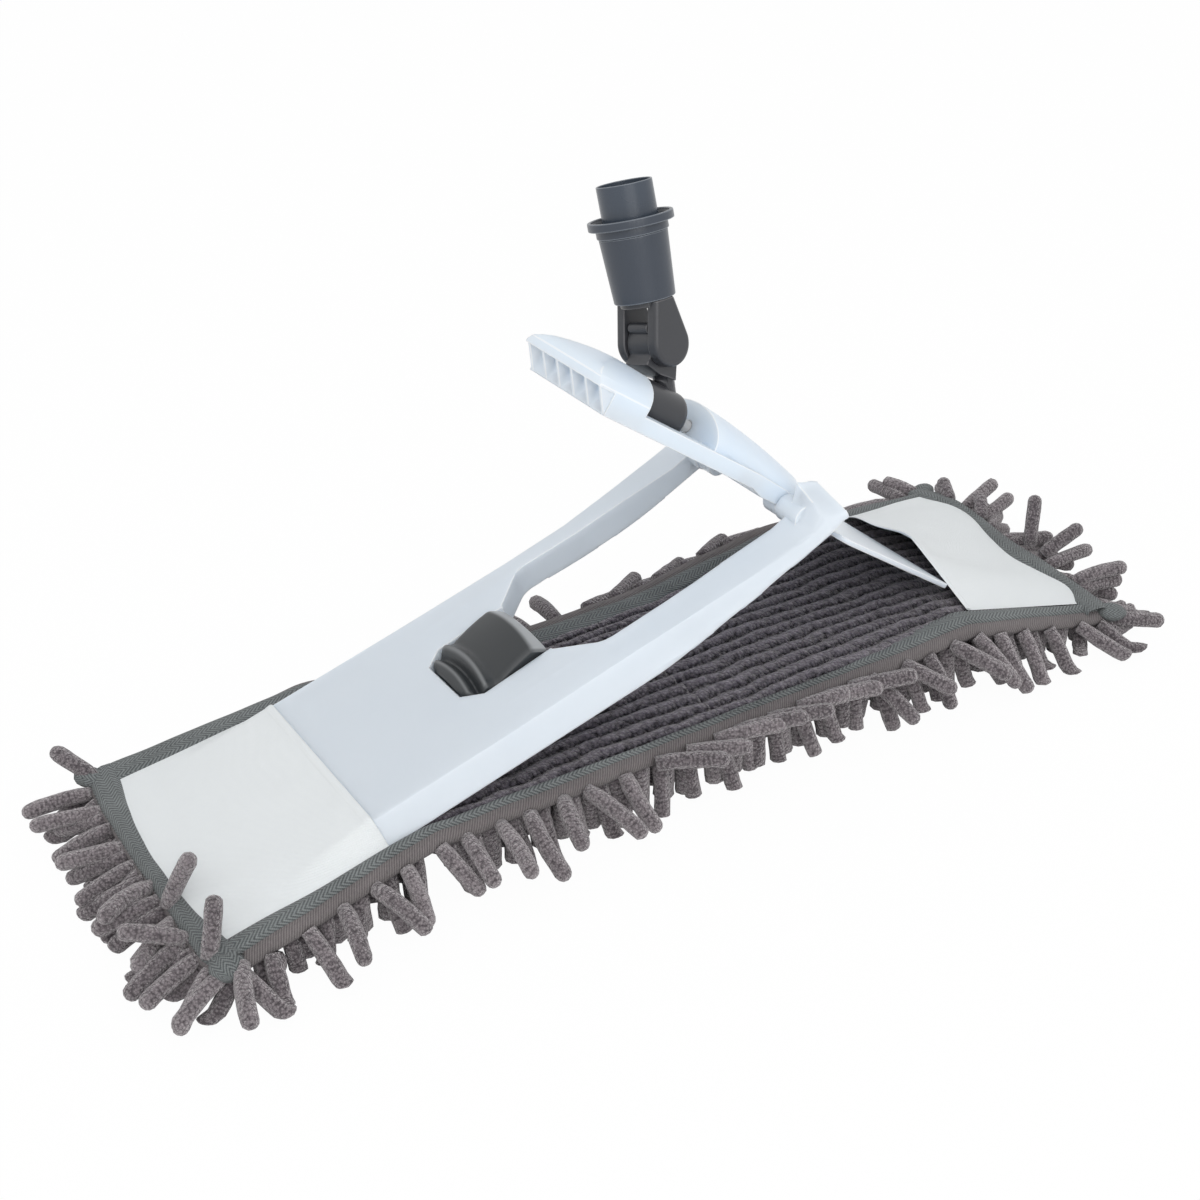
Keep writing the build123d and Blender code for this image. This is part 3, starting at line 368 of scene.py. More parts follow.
def joined(s, y, left, middle, right):
    # the left end, the middle and the right end as one line, eased at both bends
    reach = padSet["easing"]
    toMiddle = ease((s + reach) / (2 * reach))
    toRight = ease((s - midLength + reach) / (2 * reach))
    place = left.lerp(middle, toMiddle).lerp(right, toRight)
    across, drop = rolled(s, y)
    return Vector((place.x, across, place.z + drop))


def rimPlace(s, y, lift):
    # point over the pad's rim: s along it from the left bend, lift square to it
    u = s - midLength
    middle = leftFoot + Vector((s, 0, padSet["midRim"] + lift))
    return joined(s, y, overWing(s, 0, leftRim(s) + lift), middle, overRight(u, 0, rightRim(u, y) + lift))


def halfWidth(s):
    left = (padSet["leftHalf"] - padSet["midHalf"]) * max(0.0, -s) / padSet["leftLength"]
    right = (padSet["rightHalf"] - padSet["midHalf"]) * max(0.0, s - midLength) / padSet["rightLength"]
    return padSet["midHalf"] + max(left, right)


# a grid whose points are moved to their places, row by row
def gridMesh(width, places):
    bm = bmesh.new()
    bmesh.ops.create_grid(bm, x_segments=width - 1, y_segments=len(places) // width - 1, size=1.0)
    for vertex, place in zip(bm.verts, places):
        vertex.co = place
    return bm


# walls drawn out of an open rim: move shifts each new point
def drawnOut(bm, rim, move):
    grown = bmesh.ops.extrude_edge_only(bm, edges=rim)["geom"]
    for item in grown:
        if isinstance(item, bmesh.types.BMVert):
            move(item)
    return [item for item in grown if isinstance(item, bmesh.types.BMEdge) and item.is_boundary]


# a closed tube of unit rings, a step apart, and the ring and side of each of its points
def tubeMesh(sides, rings, pointed):
    def raised(vertex):
        vertex.co.z += 1.0

    bm = bmesh.new()
    bmesh.ops.create_circle(bm, cap_ends=True, segments=sides, radius=1.0)
    rim = list(bm.edges)
    for ring in range(rings - 1):
        rim = drawnOut(bm, rim, raised)
    cap = bmesh.ops.contextual_create(bm, geom=rim)["faces"]
    if pointed:
        bmesh.ops.translate(bm, verts=bmesh.ops.poke(bm, faces=cap)["verts"], vec=(0, 0, 1))
    spots = []
    for vertex in bm.verts:
        side = round(math.atan2(vertex.co.x, vertex.co.y) * sides / math.tau) % sides
        spots.append((round(vertex.co.z), side if vertex.co.xy.length > 0.5 else 0))
    return bm, spots


def faceOut(bm):
    # the moved points' normals come first
    bm.normal_update()
    bmesh.ops.recalc_face_normals(bm, faces=bm.faces)


def fillLayer(bm, name, values):
    layer = bm.verts.layers.float.new(name)
    for vertex, value in zip(bm.verts, values):
        vertex[layer] = value
    return layer


def fillWeave(bm, uvs):
    weave = bm.loops.layers.uv.new("weave")
    bm.verts.index_update()
    for face in bm.faces:
        for loop in face.loops:
            loop[weave].uv = uvs[loop.vert.index]


# a strip along the pad from its cross-section rows, with its UV in metres
def stripMesh(rows):
    uvs = []
    length = 0.0
    last = rows[0]
    middle = len(last) // 2
    for row in rows:
        length += (row[middle] - last[middle]).length
        last = row
        over = 0.0
        for index, place in enumerate(row):
            over += (place - row[index - 1]).length if index else 0.0
            uvs.append((length, over))
    bm = gridMesh(len(last), [place for row in rows for place in row])
    fillWeave(bm, uvs)
    faceOut(bm)
    return bm


def makePiece(name, bm, material):
    mesh = bpy.data.meshes.new(name)
    bm.to_mesh(mesh)
    bm.free()
    mesh.materials.append(material)
    for polygon in mesh.polygons:
        polygon.use_smooth = True
    piece = bpy.data.objects.new(name, mesh)
    scene.collection.objects.link(piece)
    return piece


def bends(piece):
    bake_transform(piece)


def bendLeft(piece):
    bends(piece)


def bendRight(piece):
    bends(piece)


# top of the pad: rows of knobbly chenille along it
topSet = {
    "pitch": 0.0074, "height": 0.0036, "wander": 0.0030, "rough": 0.00052, "stepAlong": 0.0014,
    "stepOver": 0.0008, "inset": 0.0065, "endGap": 0.012, "wall": 0.0045, "sunk": (0.0008, 0.0012, 0.0018),
}


def topPlace(s, y):
    wander = noise.noise(Vector((s * 26, y * 34, 3.1))) + 0.45 * noise.noise(Vector((s * 85, y * 60, 5.0)))
    phase = (y + topSet["wander"] * wander) / topSet["pitch"]
    row = math.floor(phase + 0.5)
    ridge = abs(math.cos(math.pi * phase)) ** 0.55
    lean = s + 0.9 * (phase - row) * topSet["pitch"]
    knob = 0.5 + 0.5 * noise.noise(Vector((lean * 120, row * 5.3, 1.7)))
    slow = 0.5 + 0.5 * noise.noise(Vector((lean * 58, row * 3.7, 9.0)))
    rough = noise.noise(Vector((s * 520, y * 520, 0.4)))
    lift = topSet["height"] * (ridge * (0.54 + 0.11 * knob + 0.40 * slow) - 0.42) + topSet["rough"] * rough
    leftSunk, midSunk, rightSunk = topSet["sunk"]
    left = leftFoot + leftAlong * s + leftUp * (lift - leftSunk)
    middle = leftFoot + Vector((s, 0, lift - midSunk))
    place = joined(s, y, left, middle, overRight(s - midLength, 0, lift - rightSunk))
    # the second value is the pad top's tone: lighter on the crests, a painted shade in the valleys between rows
    return place, ridge ** 1.9 * (0.52 + 0.13 * knob + 0.38 * slow)


def padTopPiece(name, first, last):
    def lowered(vertex):
        vertex.co.z -= topSet["wall"]

    half = padSet["midHalf"] - topSet["inset"]
    across = spread(-half, half, topSet["stepOver"])
    spots = [(s, *topPlace(s, y)) for s in spread(first, last, topSet["stepAlong"]) for y in across]
    bm = gridMesh(len(across), [place for s, place, tone in spots])
    fillLayer(bm, "along", [s for s, place, tone in spots])
    # "tone" here carries the painted shade in the valleys between rows
    fillLayer(bm, "tone", [tone for s, place, tone in spots])
    # closed below, as a padded slab
    rim = drawnOut(bm, [edge for edge in bm.edges if edge.is_boundary], lowered)
    bmesh.ops.contextual_create(bm, geom=rim)
    faceOut(bm)
    return makePiece(name, bm, deepChenille)


padLeft = padTopPiece("padTopLeft", leftEnd + topSet["endGap"], padMiddle)
padRight = padTopPiece("padTopRight", padMiddle, padEnd - topSet["endGap"])
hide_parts("pad_base_left", "pad_base_mid")
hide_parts("pad_base_right", "pad_base_mid")
bendLeft(padLeft)
bendRight(padRight)
print("pad top made")

# binding tape round the pad, and the twill edge below it
tapeSet = {"setBack": 0.0040, "thick": 0.0013, "step": 0.003, "wave": 0.0006, "sag": 0.0008,
           "endSag": 0.0007, "rolledUp": 0.0016, "overSeam": 0.0012}
# width of the side tapes along the middle
nearWidth = ((-0.01, 0.0086), (0.04, 0.0086), (0.09, 0.0070), (0.14, 0.0064), (0.20, 0.0072),
             (0.26, 0.0092))
farWidth = ((-0.01, 0.0090), (0.05, 0.0160), (0.15, 0.0160), (0.20, 0.0125), (0.26, 0.0092))
# section of the twill edge where it hangs and where it is laid over: outwards and up
hungEdge = ((-0.001, -0.0002), (0.0020, -0.0008), (0.0038, -0.0022), (0.0044, -0.0040), (0.0034, -0.0056),
            (0.0, -0.0062))
laidEdge = ((-0.001, 0.0008), (0.0024, 0.0022), (0.0054, 0.0024), (0.0078, 0.0008), (0.0076, -0.0024),
            (0.0030, -0.0050))
# inner edge of the side tapes: beside the wing at the left end, at the pocket's foot at the right
innerSet = {"left": 0.0538, "leftFlare": 0.0040 / 0.087, "right": 0.0478, "rightFlare": 0.0105 / 0.066,
            "leftStart": 0.002, "leftEase": 0.05, "rightEase": 0.075}


def tapeInner(s, side=-1):
    left = innerSet["left"] + innerSet["leftFlare"] * max(0.0, -s)
    middle = padSet["midHalf"] - through(nearWidth if side < 0 else farWidth, s)
    right = innerSet["right"] + innerSet["rightFlare"] * max(0.0, s - midLength)
    toMiddle = ease((s - innerSet["leftStart"]) / innerSet["leftEase"])
    toRight = ease((s - midLength + innerSet["rightEase"]) / innerSet["rightEase"])
    return (left * (1 - toMiddle) + middle * toMiddle) * (1 - toRight) + right * toRight


def tapePieces(name, rows, edges, *nodes):
    tape = makePiece(name, stripMesh(rows), finishes["tape_cloth"])
    edge = makePiece(name + "Edge", stripMesh(edges), edgeCloth)
    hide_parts(*nodes)
    return tape, edge


def sideTape(name, side, first, last, *nodes):
    rows = []
    edges = []
    thick = tapeSet["thick"]
    for s in spread(first, last, tapeSet["step"]):
        inner = tapeInner(s, side)
        wave = tapeSet["wave"] * noise.noise(Vector((s * 55, side * 2.0, 8.0)))
        sag = tapeSet["sag"] * noise.noise(Vector((s * 30, side * 3.0, 4.0)))
        setBack = tapeSet["setBack"] * (1.0 if side < 0 else ease((s + 0.01) / 0.05))
        outer = halfWidth(s) - setBack + wave
        # the far tape is rolled up along the middle
        flare = ease((s + 0.02) / 0.06) * ease((midLength + 0.03 - s) / 0.06) if side > 0 else 0.0
        turned = tapeSet["rolledUp"] * flare
        rows.append([rimPlace(s, side * y, lift + sag) for y, lift in (
            (outer - 0.0004, turned - 0.0012), (outer, turned - 0.0002),
            (outer - 0.0005, turned + 0.75 * thick), (outer - 0.0018, turned + thick + 0.0003),
            ((outer + inner) / 2, 0.6 * turned + thick + 0.0006),
            (inner + 0.0014, thick + 0.0002), (inner + 0.0002, 0.0006), (inner, -0.0006))])
        section = [Vector(hung).lerp(Vector(laid), flare) for hung, laid in zip(hungEdge, laidEdge)]
        edges.append([rimPlace(s, side * (outer + out), lift + sag) for out, lift in section])
    return tapePieces(name, rows, edges, *nodes)


def endTape(name, start, outer, seam, inward, half, node):
    rows = []
    edges = []
    thick = tapeSet["thick"]
    half -= 0.6 * tapeSet["setBack"]
    for y in spread(-half, half, tapeSet["step"]):
        wave = tapeSet["wave"] * noise.noise(Vector((y * 55, start * 20, 2.0)))
        sag = tapeSet["endSag"] * noise.noise(Vector((y * 35, start * 20, 6.0)))
        s = start + through(outer, y) + wave
        width = abs(through(seam, y) - through(outer, y)) + tapeSet["overSeam"]
        rows.append([rimPlace(s + inward * offset, y, lift + sag) for offset, lift in (
            (0.0004, -0.0020), (-0.0004, -0.0006), (0.0003, 0.75 * thick), (0.0018, thick + 0.0006),
            (0.5 * width, thick + 0.0012), (width - 0.0014, thick + 0.0006), (width - 0.0002, 0.0009),
            (width, -0.0004))])
        edges.append([rimPlace(s - inward * 0.35 * out, y, lift + sag) for out, lift in hungEdge])
    return tapePieces(name, rows, edges, node)


# a corner where the tape's end is rolled under into a small knot
knotSet = {"sides": 16, "rings": 9, "fold": 0.10}


def tapeKnot(name, place, heading, size):
    sides = knotSet["sides"]
    bm, spots = tubeMesh(sides, knotSet["rings"], pointed=False)
    heading = heading.normalized()
    across = heading.cross(Vector((0, 0, 1))).normalized()
    above = across.cross(heading)
    uvs = []
    for vertex, (ring, side) in zip(bm.verts, spots):
        turn = math.pi * (ring + 0.15) / (knotSet["rings"] - 0.7)
        angle = math.tau * side / sides
        reach = math.sin(turn) * (1 + knotSet["fold"] * math.sin(2 * angle + 2.2 * turn))
        vertex.co = (place - heading * math.cos(turn) * size[0] + across * math.cos(angle) * reach * size[1]
                     + above * math.sin(angle) * reach * size[2])
        uvs.append((turn * size[0], angle * size[1]))
    fillWeave(bm, uvs)
    faceOut(bm)
    return makePiece(name, bm, finishes["tape_cloth"])


for side, word in ((-1, "Near"), (1, "Far")):
    node = "tape_" + word.lower()
    for piece in sideTape("tape" + word + "Left", side, leftEnd, padMiddle, node, "tape_left"):
        bendLeft(piece)
    for piece in sideTape("tape" + word + "Right", side, padMiddle, padEnd, node, "tape_right"):
        bendRight(piece)
for piece in endTape("tapeLeftEnd", 0.0, leftEdge, leftSeam, 1, padSet["leftHalf"], "tape_left"):
    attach(piece, "left_wing_body")
for piece in endTape("tapeRightEnd", midLength, rightEdge, rightSeam, -1, padSet["rightHalf"], "tape_right"):
    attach(piece, "pad_right_body")
# knots: along, across and lift, then heading and size
for name, place, heading, size in (
    ("NearLeft", (-0.0905, -0.0690, -0.0012), (0.2, -1, -0.25), (0.0062, 0.0066, 0.0042)),
    ("FarLeft", (-0.0935, 0.0680, 0.0004), (-0.8, 0.6, 0.25), (0.0070, 0.0058, 0.0040)),
    ("NearRight", (midLength + 0.0795, -0.0676, 0.0), (1, -0.5, -0.1), (0.0068, 0.0056, 0.0032)),
    ("FarRight", (midLength + 0.0835, 0.0672, 0.0), (1, 0.5, 0.1), (0.0068, 0.0056, 0.0034)),
):
    body = "left_wing_body" if name.endswith("Left") else "pad_right_body"
    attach(tapeKnot("knot" + name, rimPlace(*place), Vector(heading), size), body)
print("tapes made")

# cloth pockets: sewn in under the tape on three sides and pulled tight over what they hold
pocketSet = {
    "gap": 0.0008, "rounds": 500, "mouth": -0.0193, "hem": 0.0011, "sewn": 0.0008, "underTape": 0.0012,
    "leftOverRim": 0.0006, "rightOverRim": 0.0008, "pressed": 0.76, "leftHalf": 0.058,
    "rightFeet": (-0.0580, 0.0600), "leftGrid": (46, 66), "rightGrid": (48, 66),
    "leftFlat": (0.118, 0.076), "rightFlat": (0.112, 0.080), "rightCrease": 0.0008,
}
# the left wing's tip, as the CAD has it: heights along it, then its flanks and round corners
wingTip = ((-0.075, 0.0036), (-0.067, 0.0054), (-0.023, 0.0090), (0.0, 0.0090))
tipSet = {"half": 0.0547, "lip": 0.0006, "steep": 1.05, "cornerAt": (-0.055, 0.0347), "corner": 0.020}


def tighten(heights, held, least):
    # cloth settles to an even pull, but never below what lies under it
    for turn in range(pocketSet["rounds"]):
        even = heights.copy()
        lengthways = heights[:-2, 1:-1] + heights[2:, 1:-1]
        even[1:-1, 1:-1] = (lengthways + heights[1:-1, :-2] + heights[1:-1, 2:]) / 4
        heights = numpy.where(held, heights, numpy.maximum(even, least))
    return heights


def wingHeight(u, y):
    # top of the left wing's tip over its own base line
    flank = tipSet["lip"] + (tipSet["half"] - abs(y)) * tipSet["steep"]
    cornerU, cornerY = tipSet["cornerAt"]
    corner = Vector((min(0.0, u - cornerU), max(0.0, abs(y) - cornerY))).length
    under = u > wingTip[0][0] and corner < tipSet["corner"]
    return min(through(wingTip, u), flank) if under else -1.0


def clothPiece(name, width, places, uvs, node, body):
    bm = gridMesh(width, places)
    fillWeave(bm, uvs)
    faceOut(bm)
    if sum(face.normal.z for face in bm.faces) < 0:
        bmesh.ops.reverse_faces(bm, faces=bm.faces)
    cloth = makePiece(name, bm, finishes["pocket_cloth"])
    # hem rolled round the mouth's edge
    hemRows = []
    thick = pocketSet["hem"] / 2
    for place, inner in zip(places[:width], places[3 * width:4 * width]):
        back = (inner - place).normalized()
        above = Vector((0, 0, 1)) - back * back.z
        above.normalize()
        hemRows.append([place + back * run + above * rise for run, rise in (
            (0.0030, 0.0001), (0.0018, 0.6 * thick), (0.0007, 0.75 * thick), (0.0, 0.4 * thick),
            (-0.0002, 0.0), (0.0002, -0.5 * thick), (0.0012, -0.8 * thick))])
    hem = makePiece(name + "Hem", stripMesh(hemRows), finishes["pocket_cloth"])
    for piece in (cloth, hem):
        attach(piece, body)
    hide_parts(node)
    return cloth, hem


# dent in the left pocket's near corner: along, across, then its size both ways
dentSet = {"depth": 0.0032, "at": (-0.079, -0.040), "size": (0.008, 0.0065), "slant": 0.5, "crease": 0.0004}


def leftPocket():
    longways, crossways = pocketSet["leftGrid"]
    mouth = pocketSet["mouth"]
    heights = numpy.zeros((longways + 1, crossways + 1))
    least = numpy.zeros_like(heights)
    held = numpy.zeros(heights.shape, bool)
    plan = {}
    for i, j in numpy.ndindex(heights.shape):
        c = 2 * j / crossways - 1
        end = through(leftSeam, c * pocketSet["leftHalf"]) - pocketSet["sewn"]
        u = mouth + (end - mouth) * i / longways
        y = c * (tapeInner(u) + pocketSet["underTape"])
        plan[i, j] = u, y
        rim = leftRim(u) + pocketSet["leftOverRim"]
        least[i, j] = wingHeight(u, y) + pocketSet["gap"]
        sewn = i == longways or j in (0, crossways)
        held[i, j] = sewn or i == 0
        heights[i, j] = rim if sewn and i else max(rim, least[i, j])
    heights = tighten(heights, held, least)
    places = []
    for (i, j), (u, y) in plan.items():
        slack = min(1.0, 6 * (1 - i / longways)) * math.sin(math.pi * j / crossways)
        crease = dentSet["crease"] * noise.noise(Vector((u * 38 + y * 20, y * 55 - u * 12, 2.0)))
        past = u - dentSet["at"][0]
        beside = y - dentSet["at"][1] + dentSet["slant"] * past
        dent = math.exp(-(past / dentSet["size"][0]) ** 2 - (beside / dentSet["size"][1]) ** 2)
        loose = slack * (crease - dentSet["depth"] * dent) if i else 0.0
        places.append(overWing(u, y, heights[i, j] + loose))
    clothPiece("pocketLeft", crossways + 1, places, list(plan.values()), "left_pocket", "left_wing_body")


# mouth of the right pocket, held open by the right wing's blade: share of it, then along, across and up
mouthLine = ((0.0, 0.0076, -0.0485, 0.0006), (0.40, 0.0036, -0.0095, 0.0192),
             (0.47, 0.0042, -0.0030, 0.0186), (0.62, 0.0062, 0.0156, 0.0136),
             (0.80, 0.0105, 0.0338, 0.0098), (1.0, 0.0200, 0.0535, 0.0010))
# swells and the hollow of the right pocket: height, place across and width
swells = ((0.0022, -0.040, 0.013), (0.0030, 0.040, 0.016), (-0.0014, -0.010, 0.012))
# the blade's tip in the right pocket: how far in and how wide, then its top and its slope
bladeSet = {"reach": 0.008, "half": 0.036, "topAt": 0.0062, "top": 0.0076, "slope": 0.46}


def mouthPlace(c):
    # straight up to the blade's corner, then a smooth line down over its tip
    corner = mouthLine[1]
    if c < corner[0]:
        return Vector(mouthLine[0][1:]).lerp(Vector(corner[1:]), c / corner[0])
    return Vector([through([(point[0], point[axis]) for point in mouthLine[1:]], c) for axis in (1, 2, 3)])


def rightPocket():
    longways, crossways = pocketSet["rightGrid"]
    nearFoot, farFoot = pocketSet["rightFeet"]
    heights = numpy.zeros((longways + 1, crossways + 1))
    least = numpy.zeros_like(heights)
    held = numpy.zeros(heights.shape, bool)
    plan = {}
    for i, j in numpy.ndindex(heights.shape):
        share = i / longways
        mouth = mouthPlace(j / crossways)
        endY = nearFoot + (farFoot - nearFoot) * j / crossways
        endU = through(rightSeam, endY) + pocketSet["sewn"]
        u = mouth.x + (endU - mouth.x) * share
        y = mouth.y + (endY - mouth.y) * share
        plan[i, j] = u, y
        rim = rightRim(u, y) + pocketSet["rightOverRim"]
        fall = (1 - share) ** 1.2
        held[i, j] = i in (0, longways) or j in (0, crossways)
        free = mouth.z * fall + rim * (1 - fall)
        heights[i, j] = (mouth.z if i == 0 else rim) if held[i, j] else free
        least[i, j] = rim - 0.5 * pocketSet["rightOverRim"]
        if u < bladeSet["reach"] and abs(y) < bladeSet["half"]:
            blade = bladeSet["top"] + (bladeSet["topAt"] - u) * bladeSet["slope"]
            least[i, j] = max(least[i, j], blade)
    heights = tighten(heights, held, least)
    places = []
    for (i, j), (u, y) in plan.items():
        share = i / longways
        slack = math.sin(math.pi * share) * math.sin(math.pi * j / crossways)
        swell = sum(height * math.exp(-((y - at) / width) ** 2) for height, at, width in swells)
        crease = pocketSet["rightCrease"] * noise.noise(Vector((u * 30 + y * 14, y * 60 - u * 10, 7.0)))
        places.append(overRight(u, y, heights[i, j] + slack * (swell * (0.4 + share) + crease)))
    made = clothPiece("pocketRight", crossways + 1, places, list(plan.values()), "right_pocket",
                      "pad_right_body")
    # each piece gets a mesh of its own; the blade comes down on the mouth when the frame is straight
    for piece in made:
        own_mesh(piece)


leftPocket()
rightPocket()
print("pockets made")

# chenille strands: curved fingers with rounded tips
strandSet = {"sides": 9, "radius": 0.0034, "length": 0.027, "floor": 0.0006, "knobbly": 0.07,
             "uneven": 0.06, "tip": 0.16}
# shares of the straight part and of the dome at which the rings stand, and the rings' sizes
bodyRings = (0.0, 0.22, 0.44, 0.66, 0.85, 1.0)
domeRings = (0.5, 0.84)
ringSizes = (0.88, 0.99, 1.0, 1.0, 1.0, 1.0, 0.87, 0.54)
fingerShape, fingerSpots = tubeMesh(strandSet["sides"], len(ringSizes), pointed=True)
fingerMesh = bpy.data.meshes.new("finger")
fingerShape.to_mesh(fingerMesh)
fingerShape.free()


class Strands:
    def __init__(self):
        self.points = []

    def add(self, root, aim, length, radius, sag, curl):
        aim = aim.normalized()
        side = aim.cross(Vector((0, 0, 1)))
        side = side.normalized() if side.length > 0.05 else Vector((1, 0, 0))
        tone = 0.35 + 0.5 * dice.random()
        body = max(0.3 * length, length - radius)
        dome = length - body
        shares = [body * share / length for share in bodyRings]
        shares += [(body + dome * share) / length for share in domeRings]
        rings = []
        place = root.copy()
        before = 0.0
        across = side
        floor = cadLow.z + radius + strandSet["floor"]
        for share, size in zip(shares, ringSizes):
            heading = (aim + Vector((0, 0, -sag)) * share + side * curl * share).normalized()
            place = place + heading * (share - before) * length
            place.z = max(place.z, floor)
            before = share
            across = (across - heading * across.dot(heading)).normalized()
            upward = across.cross(heading)
            thick = radius * size * (1 + strandSet["uneven"] * (dice.random() - 0.5))
            ring = []
            for index in range(strandSet["sides"]):
                turn = math.tau * index / strandSet["sides"]
                reach = thick * (1 + strandSet["knobbly"] * (dice.random() - 0.5))
                out = across * math.cos(turn) + upward * math.sin(turn)
                ring.append((place + out * reach, share * length + 0.05 * tone, tone))
            rings.append(ring)
        rings.append([(place + heading * dome * strandSet["tip"], length + 0.05 * tone, tone)])
        self.points += [rings[ring][index] for ring, index in fingerSpots]

    def piece(self, name, *nodes):
        bm = bmesh.new()
        for strand in range(len(self.points) // len(fingerSpots)):
            bm.from_mesh(fingerMesh)
        for vertex, point in zip(bm.verts, self.points):
            vertex.co = point[0]
        fillLayer(bm, "along", [along for place, along, tone in self.points])
        fillLayer(bm, "tone", [tone for place, along, tone in self.points])
        faceOut(bm)
        made = makePiece(name, bm, finishes["chenille"])
        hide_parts(*nodes)
        return made


# fringe in two rows along the sides and three at the ends: dips and splay in degrees
fringeSet = {
    "pitch": 0.0138, "nearDip": (4, 48), "farDip": (-14, 24), "backDip": (46, 84), "hungDip": (60, 88),
    "splay": 26, "turned": (0.03, 0.225, 0.312), "fan": 25, "endPitch": 0.92, "jitter": 0.3,
    "lengths": (0.86, 1.12), "endLengths": (0.9, 1.1), "radii": (0.94, 1.06), "curls": (-0.4, 0.4),
    "sags": (0.1, 0.6), "endSags": (0.0, 0.5), "lainSag": 0.3,
    "leftDips": ((-14, 20), (5, 35), (20, 60)), "rightDips": ((-22, 20), (0, 35), (20, 60)),
}
# roots of the strands, outwards and up from the rim, and how far each row behind the front one shifts
rootSet = {"laid": (0.0024, -0.0018), "turned": (-0.0012, -0.0034), "plain": (0.0, -0.0045), "back": -0.006,
           "laidShort": 0.004, "backDrop": 0.002, "end": (0.0008, -0.003), "endShift": (0.002, 0.0012)}
# front strands that lie along the edge, near and far
lainSet = {
    -1: {"span": (0.080, 0.200), "dip": (-20, 4), "splay": (54, 80), "root": (0.0020, -0.0034)},
    1: {"span": (0.120, 0.222), "dip": (-2, 12), "splay": (56, 84), "root": (0.0046, -0.0006)},
}


def fringeAim(outward, tangent, dip, splay):
    level = outward * math.cos(math.radians(splay)) + tangent * math.sin(math.radians(splay))
    return level * math.cos(math.radians(dip)) - Vector((0, 0, math.sin(math.radians(dip))))


def fringeSide(strands, side, first, last, front):
    begin, end, again = fringeSet["turned"]
    lying = lainSet[side]
    for row, dips in enumerate((front, fringeSet["backDip"])):
        for s in spread(first, last, fringeSet["pitch"])[:-1]:
            s += fringeSet["pitch"] * (0.5 * row + 0.25 + fringeSet["jitter"] * (dice.random() - 0.5))
            turned = side > 0 and (begin < s < end or s > again)
            lain = row == 0 and lying["span"][0] < s < lying["span"][1]
            hung = side > 0 and not turned
            laid = turned and s < midLength - rootSet["laidShort"]
            out, lift = rootSet["laid" if laid else "turned" if turned else "plain"]
            if lain:
                out, lift = lying["root"]
            across = side * (halfWidth(s) + (rootSet["back"] if row else out))
            root = rimPlace(s, across, lift - rootSet["backDrop"] * row)
            dip = dice.uniform(*(fringeSet["hungDip"] if hung else lying["dip"] if lain else dips))
            low, high = lying["splay"] if lain else (-fringeSet["splay"], fringeSet["splay"])
            splay = (low + high) / 2 + dice.uniform(-1, 1) * (high - low) / 2
            aim = fringeAim(Vector((0, side, 0)), Vector((1, 0, 0)), dip, splay)
            length = strandSet["length"] * dice.uniform(*fringeSet["lengths"])
            radius = strandSet["radius"] * dice.uniform(*fringeSet["radii"])
            sag = dice.uniform(*fringeSet["sags"]) * (fringeSet["lainSag"] if lain else 1.0)
            strands.add(root, aim, length, radius, sag, dice.uniform(*fringeSet["curls"]))


def fringeEnd(strands, s, outer, outward, half, dips):
    out, lift = rootSet["end"]
    inShift, dropShift = rootSet["endShift"]
    for row, dip in enumerate(dips):
        for y in spread(-half, half, fringeSet["pitch"] * fringeSet["endPitch"])[:-1]:
            y += fringeSet["pitch"] * (0.5 * (row % 2) + 0.2 + fringeSet["jitter"] * (dice.random() - 0.5))
            along = s + through(outer, y) + outward * (out - inShift * row)
            root = rimPlace(along, y, lift - dropShift * row)
            fallen = dice.uniform(*dip)
            splay = fringeSet["fan"] * y / half + dice.uniform(-1, 1) * fringeSet["splay"]
            aim = fringeAim(Vector((outward, 0, 0)), Vector((0, 1, 0)), fallen, splay)
            length = strandSet["length"] * dice.uniform(*fringeSet["endLengths"])
            radius = strandSet["radius"] * dice.uniform(*fringeSet["radii"])
            sag = dice.uniform(*fringeSet["endSags"])
            strands.add(root, aim, length, radius, sag, dice.uniform(*fringeSet["curls"]))


# strands that stand up or lie over the tape: along, across, lift, aim, length, sag, curl
leftStanding = (
    (-0.0965, -0.0265, 0.0004, (0.50, 0.15, 0.85), 0.0235, -0.2, 0.45),
    (-0.0945, -0.0615, 0.0, (0.42, 0.25, 0.87), 0.0225, 0.0, -0.2),
    (-0.0970, -0.046, -0.001, (-0.75, 0.1, 0.55), 0.025, 0.5, 0.3),
    (-0.0975, -0.010, -0.001, (-0.85, -0.25, 0.35), 0.026, 0.5, -0.3),
    (-0.0925, 0.0665, 0.0006, (-0.5, 0.45, 0.55), 0.021, 0.3, 0.2),
    (-0.0860, -0.0705, -0.002, (-0.4, -0.8, -0.1), 0.026, 0.4, -0.3),
)
rightStanding = (
    (0.0890, -0.0040, 0.0020, (0.30, 0.34, 0.88), 0.0245, 0.0, 0.1),
    (0.0890, -0.0130, 0.0015, (0.82, -0.10, 0.56), 0.023, 0.1, 0.2),
    (0.0850, -0.0380, 0.0, (0.80, -0.2, 0.35), 0.026, 0.3, 0.3),
    (0.0885, 0.0300, 0.0, (0.35, 0.35, 0.45), 0.014, 0.4, -0.2),
    (0.0880, 0.0520, 0.0, (0.10, 0.5, 0.40), 0.014, 0.4, 0.2),
    (0.0780, 0.0680, 0.0, (-0.35, 0.75, 0.25), 0.018, 0.4, 0.2),
)


def endFringe(name, node, start, standing, outer, outward, half, dips):
    strands = Strands()
    for s, y, lift, aim, length, sag, curl in standing:
        strands.add(rimPlace(start + s, y, lift), Vector(aim), length, strandSet["radius"], sag, curl)
    fringeEnd(strands, start, outer, outward, half, dips)
    return strands.piece(name, node)


